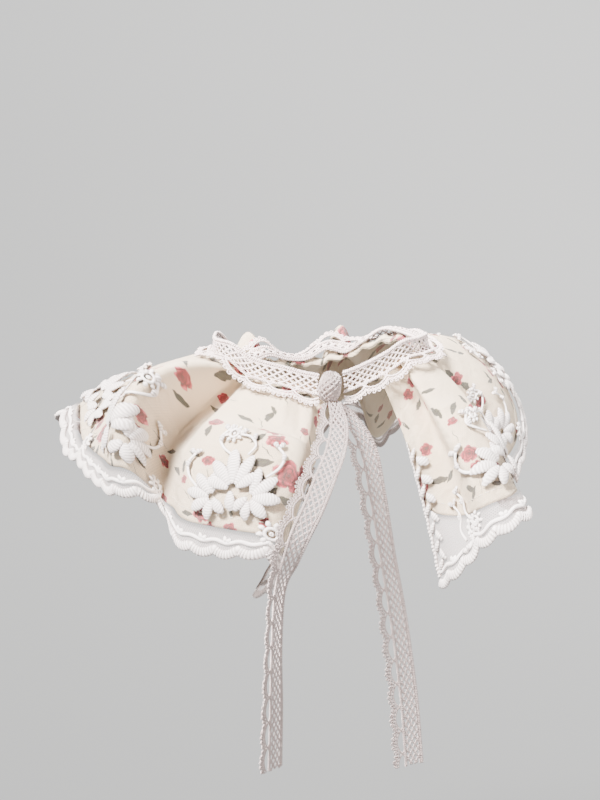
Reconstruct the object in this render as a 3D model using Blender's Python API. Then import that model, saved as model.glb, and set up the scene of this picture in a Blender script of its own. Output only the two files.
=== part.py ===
"""A pet's lace collar: a pleated printed cotton cape with an embroidered net flounce over it,
edged at the neck with cotton lace tape that ties in a knot at the front and hangs in two tails.

Z is up, and the collar's front faces -Y. The origin is the middle of the neck.
Lengths in the tables and constants are millimetres and angles are degrees. An azimuth of 0
is the front, and it grows towards +X. The cape runs from the left front edge backwards
round the neck to the right front edge.
"""

import bpy
import bmesh
import numpy as np

MM = 0.001

# The cape's driving sizes.
NECK_RADIUS = 42.0
CLOTH_DEPTH = 76.0
LACE_DEPTH = 88.0
LACE_TOP = 30.0
CLOTH_WALL = 1.0
NET_WALL = 0.9
LACE_GAP = 0.55
GATHERS = 30
GATHER_HEIGHT = 0.7
GATHER_DEPTH = 26.0
PUFF_DEPTH = 37.0
BULGE_LEAN = 1.2

# How far the cloth's hem is cut back at each front corner, over how many columns, and the
# depth above which the cut moves none of the cloth's rows.
LEFT_CUT, LEFT_CUT_COLUMNS = 11.0, 9
RIGHT_CUT, RIGHT_CUT_COLUMNS = 20.0, 16
CUT_TOP = 45.0

# The cape's rows down the cloth, and the columns of the lace's repeat: one lobe between two
# notches has six small scallops of three columns. FIRST_NOTCH is the column of the first notch.
DEPTHS = (0, 8, 18, 30, 45, 60, 76)
EDGE_DEPTHS = (81, 88)
COLUMNS = 219
SCALLOP_COLUMNS = 3
LOBE_COLUMNS = 18
LOBE_ROUNDNESS = 0.7
FIRST_NOTCH = 12
NOTCH = 4.0
SCALLOP = 1.8
CORD_WIDTH = 2.4
CORD_RAISE = 0.9

# The satin-stitched flower spray on each lobe: its middle depth, the row of the cape that its
# padded ridge follows, and how far it reaches above and below at each column across it.
SPRAY_COLUMNS = (17, 36, 57, 76, 94, 112, 130, 147, 163, 180, 200)
SPRAY_DEPTH = 61
SPRAY_RIDGE = 60
SPRAY_ABOVE = (2, 7, 5, 11, 9, 14, 10, 12, 6, 8, 2)
SPRAY_BELOW = (2, 5, 8, 5, 10, 12, 9, 6, 10, 5, 2)
SPRAY_GAP = 0.5
SPRAY_EDGE = 0.6
SPRAY_HEIGHT = 1.5

# The lace tape's repeat: an eye-shaped hole and a scallop in every TAPE_REPEAT. Each row goes
# across the tape from its straight edge; the widths are those at an eye's ends and its middle.
# The second row is the bend where the neck tape turns over the neck edge, and the part that
# stands above it leans in by TAPE_LEAN of its height.
TAPE_WALL = 1.0
TAPE_REPEAT = 10.0
TAPE_BEND = 6.5
TAPE_LEAN = 0.12
EYE_COLUMNS = (0.08, 0.5, 0.92)
TAPE_ACROSS = ((0, 0), (TAPE_BEND, TAPE_BEND), (9.6, 8.6), (10.6, 11.8), (12.2, 14.0))
TIE_ACROSS = ((0, 0), (9.0, 8.0), (10.0, 11.2), (11.6, 13.4))
TIE_MIDDLE = 6.4

# The neck edge's height by azimuth.
NECK_COLUMNS = ("azimuth", "height")
NECK_ROWS = (
    (-330, -3), (-300, 2), (-270, 3), (-240, 4.5), (-222, 3), (-210, -0.5), (-198, -5),
    (-180, -8.5), (-145, -8.5), (-126, -7), (-112, -2), (-95, 2), (-60, 0), (-30, -6),
    (0, -9), (10, -9), (36, -9),
)

# One row for each fold of the cape, from the left front edge round the back to the right one:
# where it leaves the neck, how far a pleat is lifted off the one below, where the lace's lowest
# point hangs, how far the cloth between bows out (1 uses the cloth's full length), how high the
# pleat puffs up beside the neck and how far it sways along the hem half way down.
FOLD_COLUMNS = ("neck", "lift", "hem", "reach", "height", "bow", "puff", "sway")
FOLD_ROWS = (
    (4, 0, -28, 62, -92, 1, -7, 7),
    (1, 0, -19, 69, -87, 1, -9, 8),
    (-4, 0, -14, 78, -80, 1, -10, 8),
    (-11, 0, -14, 91, -71, 1, -9.5, 7),
    (-22, 0, -26, 90, -69, 1, -7, 3),
    (-33, 0, -36, 91, -67, 0.8, -4, -4),
    (-40, -1, -41, 87, -62, 0.2, -1, -13),
    (-46, -1, -47, 87, -58, 0, 0, -20),
    (-46, 5, -51, 95, -50, 1.2, 0, -4),
    (-56, 5, -56, 98, -50, 1.1, 0, -6),
    (-68, 2, -65, 99, -48, 0.7, 0, -4),
    (-80, 0, -78, 103, -46, 0.6, 0, -1),
    (-90, 0, -89, 109, -43, 0.5, 0, 0),
    (-99, 0, -100, 115, -30, 0.4, 0, 0),
    (-107, 0, -104, 122, -36, 0.4, 0, 0),
    (-116, 0, -114, 104, -48, 0.1, 1, 0),
    (-127, 0, -127, 108, -34, 0.5, 3, 0),
    (-137, 0, -139, 92, -54, 0.1, 1, 0),
    (-148, 0, -150, 104, -44, 0.8, 13, 0),
    (-158, 0, -160, 91, -56, 0.1, 1, 0),
    (-168, 0, -169, 104, -42, 0.6, 1, 0),
    (-179, 0, -179, 91, -55, 0.1, 1, 0),
    (-191, 0, -190, 106, -42, 0.8, 14, 0),
    (-202, 0, -200, 90, -57, 0.1, 1, 0),
    (-213, 0, -209, 104, -38, 0.6, 2, 0),
    (-222, 0, -216, 105, -28, 0.3, 0, 0),
    (-233, 0, -224, 114, -14, 0.5, 0, 0),
    (-248, 0, -236, 110, -25, 0.5, 0, 0),
    (-262, 0, -257, 94, -48, 0.6, 0, 0),
    (-276, 0, -277, 79, -62, -0.3, 0, 0),
    (-284, 0, -297, 88, -62, 0.3, 0, 0),
    (-297, 5, -311, 108, -56, 1, 0, 0),
    (-314, 5, -319, 108, -62, 1, 0, -3),
    (-305, 0, -320, 97, -74, 0.2, 0, 4),
    (-314, 0, -320, 86, -82, 0.6, 0, 0),
    (-325, 0, -316, 73, -89, 1, 0, 0),
)

# The neck tape from the knot's left side round the back to its right side: where it bends over
# the cape's neck edge, a point further down the cape towards its scalloped edge, and how high
# the tape stands above the bend.
TAPE_COLUMNS = ("azimuth", "radius", "height", "low_radius", "low_height", "stand")
TAPE_ROWS = (
    (-0.4, 47.2, -7.9, 49.8, -12.9, 6.5),
    (-9, 45.4, -6.9, 50.0, -11.6, 6.5),
    (-18, 45.4, -5.2, 50.6, -9.4, 6.5),
    (-29, 45.6, -3.6, 51.2, -8.2, 6.5),
    (-38, 46.4, -1.8, 52.6, -5.4, 6.5),
    (-47, 49.2, 3.2, 56.4, 3.2, 6.5),
    (-58, 49.4, 4.1, 56.8, 4.1, 6.5),
    (-70, 46.9, 4.0, 54.3, 2.3, 6.5),
    (-84, 44.9, 3.7, 52.4, 1.6, 6.5),
    (-100, 44.7, 4.0, 52.4, 2.4, 6.2),
    (-114, 44.5, 0.6, 52.2, -0.6, 4.4),
    (-126, 44.5, -3.6, 52.4, -1.0, 3),
    (-138, 44.5, -5.2, 52.2, -3.4, 3),
    (-150, 44.5, -4.0, 52.0, 3.2, 3.2),
    (-162, 44.5, -5.8, 52.2, -4.4, 3),
    (-174, 44.5, -5.8, 52.2, -4.4, 3),
    (-186, 44.5, -2.0, 51.8, 5.0, 3.4),
    (-198, 44.5, -2.4, 52.2, 1.8, 3),
    (-210, 44.5, 2.3, 52.2, 3.4, 3.4),
    (-222, 44.5, 5.5, 52.2, 5.4, 4.5),
    (-234, 44.5, 7.3, 52.2, 8.2, 3.8),
    (-246, 44.5, 7.0, 52.2, 6.4, 3.6),
    (-258, 44.4, 6.6, 52.2, 5.0, 3.6),
    (-270, 44.6, 5.9, 52.0, 2.2, 4),
    (-282, 46.2, 5.6, 53.6, 2.2, 5),
    (-292, 49.2, 6.2, 56.6, 2.6, 6),
    (-304, 49.2, 5.2, 56.6, 1.6, 6.5),
    (-314, 48.6, 4.6, 55.4, 0.8, 6.5),
    (-322, 46.6, 0.8, 52.6, -5.4, 6.5),
    (-332, 45.6, -2.8, 50.8, -8.8, 6.5),
    (-341, 45.8, -5.4, 50.2, -11.4, 6.5),
    (-348, 46.8, -7.0, 49.8, -12.6, 6.5),
)

# The two tails of the tape, from the knot down: the middle line, the turn of the scalloped
# side from straight left towards the front, and how much of the tape's width is spread.
TIE_COLUMNS = ("across", "forward", "height", "turn", "spread")
LEFT_TIE_ROWS = (
    (4.9, 52.9, -12.3, 5, 0.6),
    (6.0, 60.8, -19.5, 5, 0.85),
    (4.2, 72, -27.5, 5, 0.97),
    (0.2, 82.5, -36, 5, 1),
    (-4.4, 91, -46, 8, 1),
    (-9.2, 95, -56, 15, 1),
    (-12.8, 95.5, -67, 35, 1),
    (-16.0, 95, -79, 60, 1),
    (-17.4, 93, -102, 62, 1),
    (-17.8, 93, -126, 55, 1),
    (-18.4, 93, -150, 52, 1),
)
RIGHT_TIE_ROWS = (
    (5.6, 50.0, -13.2, 15, 0.42),
    (11.4, 51.5, -19.5, 20, 0.7),
    (18.2, 53, -31.6, 25, 0.9),
    (22.4, 54, -52, 32, 0.95),
    (26.6, 54, -76.6, 38, 1),
    (30.8, 54, -101.4, 32, 1),
    (35.2, 54, -135, 26, 1),
    (37.5, 54, -162.6, 22, 1),
)

KNOT_MIDDLE = (4.2, -50.6, -6.2)
KNOT_SIZE = (5.0, 4.2, 6.4)
KNOT_LEAN = 12.0
KNOT_SIDES = 20
KNOT_STEPS = 11
KNOT_SWELL = 0.1
KNOT_TWIST = 2.4


def column(columns, rows, name):
    """One named column of a table."""
    return np.array([row[columns.index(name)] for row in rows], float)


def through(values, at):
    """The smooth Catmull-Rom curve through values, read at fractional row numbers."""
    last = len(values) - 2
    k = np.clip(np.floor(at).astype(int), 0, last)
    t = at - k
    ends = np.concatenate([[2 * values[0] - values[1]], values, [2 * values[-1] - values[-2]]])
    a, b, c, d = (ends[k + i] for i in range(4))
    return 0.5 * (
        2 * b + (c - a) * t + (2 * a - 5 * b + 4 * c - d) * t**2 + (3 * b - a - 3 * c + d) * t**3
    )


def cylindrical(azimuth, radius, height):
    """Points from an azimuth in degrees, a radius and a height."""
    turn = np.radians(azimuth)
    return np.stack([radius * np.sin(turn), -radius * np.cos(turn), height], -1)


def fold(name, at):
    """One column of the fold table at fractional fold numbers."""
    return through(column(FOLD_COLUMNS, FOLD_ROWS, name), at)


def cape_points(at, lengths):
    """The cape's middle surface: a grid with a row for each length down the cloth from the neck
    and a column for each fractional fold number."""
    neck_azimuth, hem_azimuth, lift = fold("neck", at), fold("hem", at), fold("lift", at)
    neck_height = np.interp(
        neck_azimuth,
        column(NECK_COLUMNS, NECK_ROWS, "azimuth"),
        column(NECK_COLUMNS, NECK_ROWS, "height"),
    )
    neck = cylindrical(neck_azimuth, NECK_RADIUS + lift, neck_height + lift / 2)
    hem = cylindrical(hem_azimuth, fold("reach", at), fold("height", at))
    span = hem - neck
    chord = np.linalg.norm(span, axis=1)[:, None]
    along = span / chord
    lean = cylindrical((neck_azimuth + hem_azimuth) / 2, np.ones_like(at), np.full_like(at, BULGE_LEAN))
    bow_way = lean - (lean * along).sum(1)[:, None] * along
    bow_way /= np.linalg.norm(bow_way, axis=1)[:, None]
    slack = np.sqrt(3 / 8 * chord * np.maximum(LACE_DEPTH - chord, 0.5))
    steps = np.linspace(0, 1, 61)[:, None, None]
    bowed = fold("bow", at)[:, None] * slack * 4 * steps * (1 - steps)
    puffed = np.sin(np.pi * np.clip(steps * LACE_DEPTH / PUFF_DEPTH, 0, 1)) ** 2
    path = neck + span * steps + bow_way * bowed
    path = path + np.array([0, 0, 1.0]) * fold("puff", at)[:, None] * puffed
    path = path + np.cross(bow_way, along) * fold("sway", at)[:, None] * np.sin(np.pi * steps)
    run = np.cumsum(np.linalg.norm(np.diff(path, axis=0), axis=2), axis=0)
    run = np.vstack([np.zeros((1, len(at))), run])
    grid = np.empty((len(lengths), len(at), 3))
    for j in range(len(at)):
        for axis in range(3):
            wanted = np.asarray(lengths) / LACE_DEPTH * run[-1, j]
            grid[:, j, axis] = np.interp(wanted, run[:, j], path[:, j, axis])
    return grid


def fold_numbers(share):
    """Fold numbers for shares of the way round, evenly spaced along the hem."""
    fine = np.linspace(0, len(FOLD_ROWS) - 1, 1200)
    rings = cape_points(fine, (CLOTH_DEPTH, LACE_DEPTH))
    steps = np.linalg.norm(np.diff(rings, axis=1), axis=2).mean(0)
    run = np.concatenate([[0], np.cumsum(steps)])
    return np.interp(np.asarray(share) * run[-1], run, fine)


def outward(grid):
    """Unit normals of a cape grid, pointing away from the neck's axis."""
    down, across = np.gradient(grid, axis=0), np.gradient(grid, axis=1)
    normal = np.cross(across, down)
    return normal / np.linalg.norm(normal, axis=2)[:, :, None]


def material(name, colour, roughness):
    """A Principled finish."""
    made = bpy.data.materials.new(name)
    made.use_nodes = True
    shader = made.node_tree.nodes["Principled BSDF"]
    shader.inputs["Base Color"].default_value = (*colour, 1)
    shader.inputs["Roughness"].default_value = roughness
    return made


def wall(name, outer, inner, finish, holes=()):
    """A closed wall between two grids of points, with the cells named in holes left out. Every
    cell is cut along the same diagonal, so that walls made from one grid stay parallel."""
    rows, columns = outer.shape[:2]
    mesh = bmesh.new()
    face_out = [mesh.verts.new(p * MM) for p in outer.reshape(-1, 3)]
    face_in = [mesh.verts.new(p * MM) for p in inner.reshape(-1, 3)]
    edges = set()
    for i in range(rows - 1):
        for j in range(columns - 1):
            if (i, j) in holes:
                continue
            a, b = i * columns + j, (i + 1) * columns + j
            for corners in ((a, b, b + 1), (a, b + 1, a + 1)):
                mesh.faces.new([face_out[k] for k in corners])
                mesh.faces.new([face_in[k] for k in reversed(corners)])
            edges.update(((a, b), (b, b + 1), (b + 1, a + 1), (a + 1, a)))
    for a, b in sorted(edges):
        if (b, a) not in edges:
            mesh.faces.new((face_out[b], face_out[a], face_in[a], face_in[b]))
    bmesh.ops.delete(mesh, geom=[v for v in mesh.verts if not v.link_faces], context="VERTS")
    bmesh.ops.recalc_face_normals(mesh, faces=mesh.faces)
    return add_object(name, mesh, finish)


def add_object(name, mesh, finish):
    """A smooth-shaded object made from a bmesh, which it frees."""
    data = bpy.data.meshes.new(name)
    mesh.to_mesh(data)
    mesh.free()
    data.materials.append(finish)
    data.shade_smooth()
    made = bpy.data.objects.new(name, data)
    bpy.context.scene.collection.objects.link(made)
    return made


def lobe(column):
    """The place in the lace's repeat: whole numbers at notches and halves at lobe middles."""
    return (np.asarray(column) - FIRST_NOTCH) / LOBE_COLUMNS


def lace_edge(column):
    """How far down the lace reaches: lobes between notches, with small scallops along them."""
    bow = np.abs(np.sin(np.pi * lobe(column))) ** LOBE_ROUNDNESS
    scallop = np.abs(np.sin(np.pi * np.asarray(column) / SCALLOP_COLUMNS))
    return LACE_DEPTH - NOTCH * (1 - bow) - SCALLOP * (1 - scallop)


def along_strip(grid, depths, column, depth):
    """A point on the grid's own straight edge down one column, at a depth between two rows."""
    i = int(np.clip(np.searchsorted(depths, depth, "right") - 1, 0, len(depths) - 2))
    t = (depth - depths[i]) / (depths[i + 1] - depths[i])
    return grid[i, column] * (1 - t) + grid[i + 1, column] * t


def cape_grids():
    """The cape's middle points and outward normals: a row for each depth, then two more for the
    lace's cord and its edge. Each point is eased towards its neighbours to round the folds."""
    columns = np.arange(COLUMNS + 1)
    depths = (*DEPTHS, *EDGE_DEPTHS)
    base = cape_points(fold_numbers(columns / COLUMNS), depths)
    base[:, 1:-1] = (base[:, :-2] + 2 * base[:, 1:-1] + base[:, 2:]) / 4
    edge = lace_edge(columns)
    far = [[along_strip(base, depths, j, edge[j] - back) for j in columns] for back in (CORD_WIDTH, 0)]
    grid = np.concatenate([base[:len(DEPTHS)], far])
    return grid, outward(grid)


def hem_cut(column):
    """How far the cloth's hem is cut back: more towards each front corner."""
    left = np.clip(1 - column / LEFT_CUT_COLUMNS, 0, 1)
    right = np.clip(1 - (COLUMNS - column) / RIGHT_CUT_COLUMNS, 0, 1)
    return LEFT_CUT * left**1.5 + RIGHT_CUT * right**1.3


def make_cloth(grid, way, finish):
    """The cotton cape, gathered in small pleats where it joins the neck."""
    columns = np.arange(COLUMNS + 1)
    depths = np.array(DEPTHS, float)[:, None]
    depths = depths - np.clip((depths - CUT_TOP) / (CLOTH_DEPTH - CUT_TOP), 0, 1) * hem_cut(columns)
    middle, way = (
        np.array([[along_strip(sheet, DEPTHS, j, depth[j]) for j in columns] for depth in depths])
        for sheet in (grid, way)
    )
    fade = np.clip(1 - depths / GATHER_DEPTH, 0, 1)
    ripple = GATHER_HEIGHT * fade * np.sin(2 * np.pi * GATHERS * columns / COLUMNS)
    middle = middle + way * ripple[:, :, None]
    return wall("cape_cloth", middle + way * CLOTH_WALL / 2, middle - way * CLOTH_WALL / 2, finish)


def make_lace(grid, way, finish):
    """The net flounce over the cape, its scalloped edge raised by the corded stitching."""
    first = DEPTHS.index(LACE_TOP)
    grid, way = grid[first:], way[first:]
    low = CLOTH_WALL / 2 + LACE_GAP
    raised = np.zeros((len(grid), 1, 1))
    raised[-2:] = CORD_RAISE
    return wall("cape_lace", grid + way * (low + NET_WALL + raised), grid + way * low, finish)


def make_spray(name, middle, grid, way, finish):
    """One padded flower spray, made from the lace's own points and moved out from them."""
    half = len(SPRAY_ABOVE) // 2
    low = CLOTH_WALL / 2 + LACE_GAP + NET_WALL + SPRAY_GAP
    face_in, face_out = [], []
    for k, (above, below) in enumerate(zip(SPRAY_ABOVE, SPRAY_BELOW)):
        j = middle - half + k
        fullness = np.sin(np.pi * (k + 0.5) / len(SPRAY_ABOVE)) ** 0.5
        for depth, height in (
            (SPRAY_DEPTH - above, SPRAY_EDGE),
            (SPRAY_RIDGE, SPRAY_EDGE + (SPRAY_HEIGHT - SPRAY_EDGE) * fullness),
            (SPRAY_DEPTH + below, SPRAY_EDGE),
        ):
            point = along_strip(grid, DEPTHS, j, depth)
            normal = along_strip(way, DEPTHS, j, depth)
            face_in.append(point + normal * low)
            face_out.append(point + normal * (low + height))
    shape = (len(SPRAY_ABOVE), 3, 3)
    face_in = np.array(face_in).reshape(shape).swapaxes(0, 1)
    face_out = np.array(face_out).reshape(shape).swapaxes(0, 1)
    return wall(name, face_out, face_in, finish)


def smooth_rows(columns, rows, steps=400):
    """Every column of a table along one smooth curve through its rows."""
    at = np.linspace(0, len(rows) - 1, steps)
    return {name: through(column(columns, rows, name), at) for name in columns}


def lace_tape(name, line, spread, across, finish):
    """A strip of the tape with an eye-shaped hole in every repeat. The line gives the length
    and spread gives points for places along the line and widths across it."""
    run = np.concatenate([[0], np.cumsum(np.linalg.norm(np.diff(line, axis=0), axis=1))])
    repeats = round(run[-1] / TAPE_REPEAT)
    places = [0.0, *(k + f for k in range(repeats) for f in EYE_COLUMNS), float(repeats)]
    at = np.interp(np.array(places) / repeats * run[-1], run, np.arange(len(line)))
    eye = [0.0, *([0, 1, 0] * repeats), 0.0]
    widths = np.array([[ends + (middle - ends) * e for e in eye] for ends, middle in across])
    middle = np.stack([spread(at, row) for row in widths])
    way = outward(middle)
    eye_row = len(across) - 3
    holes = {(eye_row, 1 + 3 * k + side) for k in range(repeats) for side in (0, 1)}
    return wall(name, middle + way * TAPE_WALL / 2, middle - way * TAPE_WALL / 2, finish, holes)


def make_neck_lace(finish):
    """The tape round the neck, standing above the cape's neck edge and turned down over it."""
    rows = smooth_rows(TAPE_COLUMNS, TAPE_ROWS, 800)
    bend = cylindrical(rows["azimuth"], rows["radius"], rows["height"])
    low = cylindrical(rows["azimuth"], rows["low_radius"], rows["low_height"])
    down = (low - bend) / np.linalg.norm(low - bend, axis=1)[:, None]
    lean = cylindrical(rows["azimuth"], np.full(len(bend), -TAPE_LEAN), np.ones(len(bend)))

    def spread(at, width):
        k = np.arange(len(bend))
        base, slope, up = (
            np.stack([np.interp(at, k, line[:, i]) for i in range(3)], -1)
            for line in (bend, down, lean)
        )
        stand = np.interp(at, k, rows["stand"])
        over = np.where(width > TAPE_BEND, width - stand, (width / TAPE_BEND - 1) * stand)[:, None]
        return base + slope * np.maximum(over, 0) - up * np.minimum(over, 0)

    return lace_tape("neck_lace", bend, spread, TAPE_ACROSS, finish)


def make_tie(name, table, finish):
    """One tail of the tape, hanging from the knot to its cut end."""
    rows = smooth_rows(TIE_COLUMNS, table)
    line = np.stack([rows["across"], -rows["forward"], rows["height"]], -1)
    turn = np.radians(rows["turn"])
    side = np.stack([-np.cos(turn), -np.sin(turn), np.zeros_like(turn)], -1)
    tangent = np.gradient(line, axis=0)
    tangent /= np.linalg.norm(tangent, axis=1)[:, None]
    side -= (side * tangent).sum(1)[:, None] * tangent
    side *= (rows["spread"] / np.linalg.norm(side, axis=1))[:, None]

    def spread(at, width):
        k = np.arange(len(line))
        base, way = (np.stack([np.interp(at, k, v[:, i]) for i in range(3)], -1) for v in (line, side))
        return base + way * (width - TIE_MIDDLE)[:, None]

    return lace_tape(name, line, spread, TIE_ACROSS, finish)


def make_knot(finish):
    """The knot at the front: a rounded lump with the turn of the tape wound round it."""
    mesh = bmesh.new()
    lean = np.radians(KNOT_LEAN)
    rings = []
    for i in range(1, KNOT_STEPS):
        polar = np.pi * i / KNOT_STEPS
        ring = []
        for j in range(KNOT_SIDES):
            turn = 2 * np.pi * j / KNOT_SIDES
            swell = 1 + KNOT_SWELL * np.cos(2 * turn + KNOT_TWIST * polar) * np.sin(polar)
            x = KNOT_SIZE[0] * swell * np.sin(polar) ** 0.8 * np.cos(turn)
            y = KNOT_SIZE[1] * swell * np.sin(polar) ** 0.8 * np.sin(turn)
            z = KNOT_SIZE[2] * np.cos(polar)
            x, z = x * np.cos(lean) + z * np.sin(lean), z * np.cos(lean) - x * np.sin(lean)
            ring.append(mesh.verts.new((np.array((x, y, z)) + KNOT_MIDDLE) * MM))
        rings.append(ring)
    for end, ring in ((1, rings[0]), (-1, rings[-1])):
        tip = np.array((end * KNOT_SIZE[2] * np.sin(lean), 0, end * KNOT_SIZE[2] * np.cos(lean)))
        cap = mesh.verts.new((tip + KNOT_MIDDLE) * MM)
        for j in range(KNOT_SIDES):
            mesh.faces.new((cap, ring[j], ring[(j + 1) % KNOT_SIDES]))
    for upper, lower in zip(rings, rings[1:]):
        for j in range(KNOT_SIDES):
            k = (j + 1) % KNOT_SIDES
            mesh.faces.new((upper[j], lower[j], lower[k], upper[k]))
    bmesh.ops.recalc_face_normals(mesh, faces=mesh.faces)
    return add_object("knot", mesh, finish)


def main():
    for old in list(bpy.data.objects):
        bpy.data.objects.remove(old)
    cotton = material("printed_cotton", (0.86, 0.80, 0.72), 0.85)
    net = material("embroidered_net", (0.90, 0.88, 0.87), 0.8)
    thread = material("satin_thread", (0.93, 0.91, 0.90), 0.7)
    tape = material("cotton_tape", (0.91, 0.88, 0.87), 0.85)
    grid, way = cape_grids()
    make_cloth(grid, way, cotton)
    make_lace(grid, way, net)
    for number, middle in enumerate(SPRAY_COLUMNS, 1):
        make_spray(f"spray_{number:02d}", middle, grid, way, thread)
    make_neck_lace(tape)
    make_knot(tape)
    make_tie("tie_left", LEFT_TIE_ROWS, tape)
    make_tie("tie_right", RIGHT_TIE_ROWS, tape)


main()
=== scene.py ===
"""A pet's lace collar: a circle-cut cape of rose-printed cotton pleated round the neck, a sheer
embroidered net flounce over it, and a cotton lace tape that edges the neck, ties in a knot at the
front and hangs in two tails. Z is up and the front faces -Y. The shapes are worked out in
millimetres, and made metres where they go into a mesh.
"""

import bmesh
import bpy
import numpy as np
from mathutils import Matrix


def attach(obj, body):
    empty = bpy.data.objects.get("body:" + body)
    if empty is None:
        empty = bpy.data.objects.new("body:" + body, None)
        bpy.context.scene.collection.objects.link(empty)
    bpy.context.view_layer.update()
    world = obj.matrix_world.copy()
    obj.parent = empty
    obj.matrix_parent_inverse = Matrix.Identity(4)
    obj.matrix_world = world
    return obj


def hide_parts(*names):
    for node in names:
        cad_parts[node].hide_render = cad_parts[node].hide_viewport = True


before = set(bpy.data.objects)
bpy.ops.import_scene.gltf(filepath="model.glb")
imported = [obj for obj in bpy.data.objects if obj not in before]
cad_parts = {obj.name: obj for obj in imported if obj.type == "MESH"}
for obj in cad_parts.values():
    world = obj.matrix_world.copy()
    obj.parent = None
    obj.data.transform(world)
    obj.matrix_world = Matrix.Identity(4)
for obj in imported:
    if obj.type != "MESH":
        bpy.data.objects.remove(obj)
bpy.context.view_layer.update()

# The studio: a product photograph taken from a little above, with the neck loop slightly right of
# and above the picture's middle, a key light on the left, a fill on the right and a rim behind.
IMAGE_HEIGHT = 800
FOCAL_PIXELS = 1628
VIEW_DISTANCE = 0.7
VIEW_ELEVATION = np.radians(8)
METRES_PER_PIXEL = VIEW_DISTANCE / FOCAL_PIXELS
ORIGIN_RIGHT, ORIGIN_UP = 18, 43

back = np.array([0, -np.cos(VIEW_ELEVATION), np.sin(VIEW_ELEVATION)])
right = np.array([1.0, 0, 0])
up = np.cross(back, right)
lens = bpy.data.cameras.new("camera")
lens.sensor_fit = "VERTICAL"
lens.sensor_height = 36
lens.lens = FOCAL_PIXELS / IMAGE_HEIGHT * lens.sensor_height
camera = bpy.data.objects.new("camera", lens)
camera.location = (
    back * VIEW_DISTANCE - right * ORIGIN_RIGHT * METRES_PER_PIXEL - up * ORIGIN_UP * METRES_PER_PIXEL
)
camera.rotation_euler = (np.pi / 2 - VIEW_ELEVATION, 0, 0)
bpy.context.scene.collection.objects.link(camera)
bpy.context.scene.camera = camera


def linear(red, green, blue):
    """A display colour, 0 to 255 each, as linear numbers for a shader."""
    shown = np.array([red, green, blue]) / 255
    return tuple(np.where(shown < 0.04045, shown / 12.92, ((shown + 0.055) / 1.055) ** 2.4))


def add_light(name, kind, place, power, colour, **sizes):
    """A soft light of a kind at a place, turned to face the collar."""
    lamp = bpy.data.lights.new(name, kind)
    lamp.energy = power
    lamp.color = colour
    for size, value in sizes.items():
        setattr(lamp, size, value)
    made = bpy.data.objects.new(name, lamp)
    made.location = place
    x, y, z = place
    made.rotation_euler = (np.arctan2(np.hypot(x, y), z), 0, np.arctan2(y, x) + np.pi / 2)
    bpy.context.scene.collection.objects.link(made)


add_light("key", "SUN", (-0.8, -0.8, 1.05), 70, (1.0, 0.97, 0.95), angle=np.radians(24))
add_light("fill", "AREA", (0.75, -1.05, 0.15), 20, (1.0, 0.96, 0.95), size=1.0)
add_light("rim", "AREA", (0.2, 1.1, 1.1), 30, (1.0, 0.99, 0.97), size=0.9)

sky = bpy.data.worlds.new("studio")
sky.use_nodes = True
sky.node_tree.nodes["Background"].inputs["Color"].default_value = (1.0, 0.98, 0.97, 1)
sky.node_tree.nodes["Background"].inputs["Strength"].default_value = 0.65
bpy.context.scene.world = sky

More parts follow.
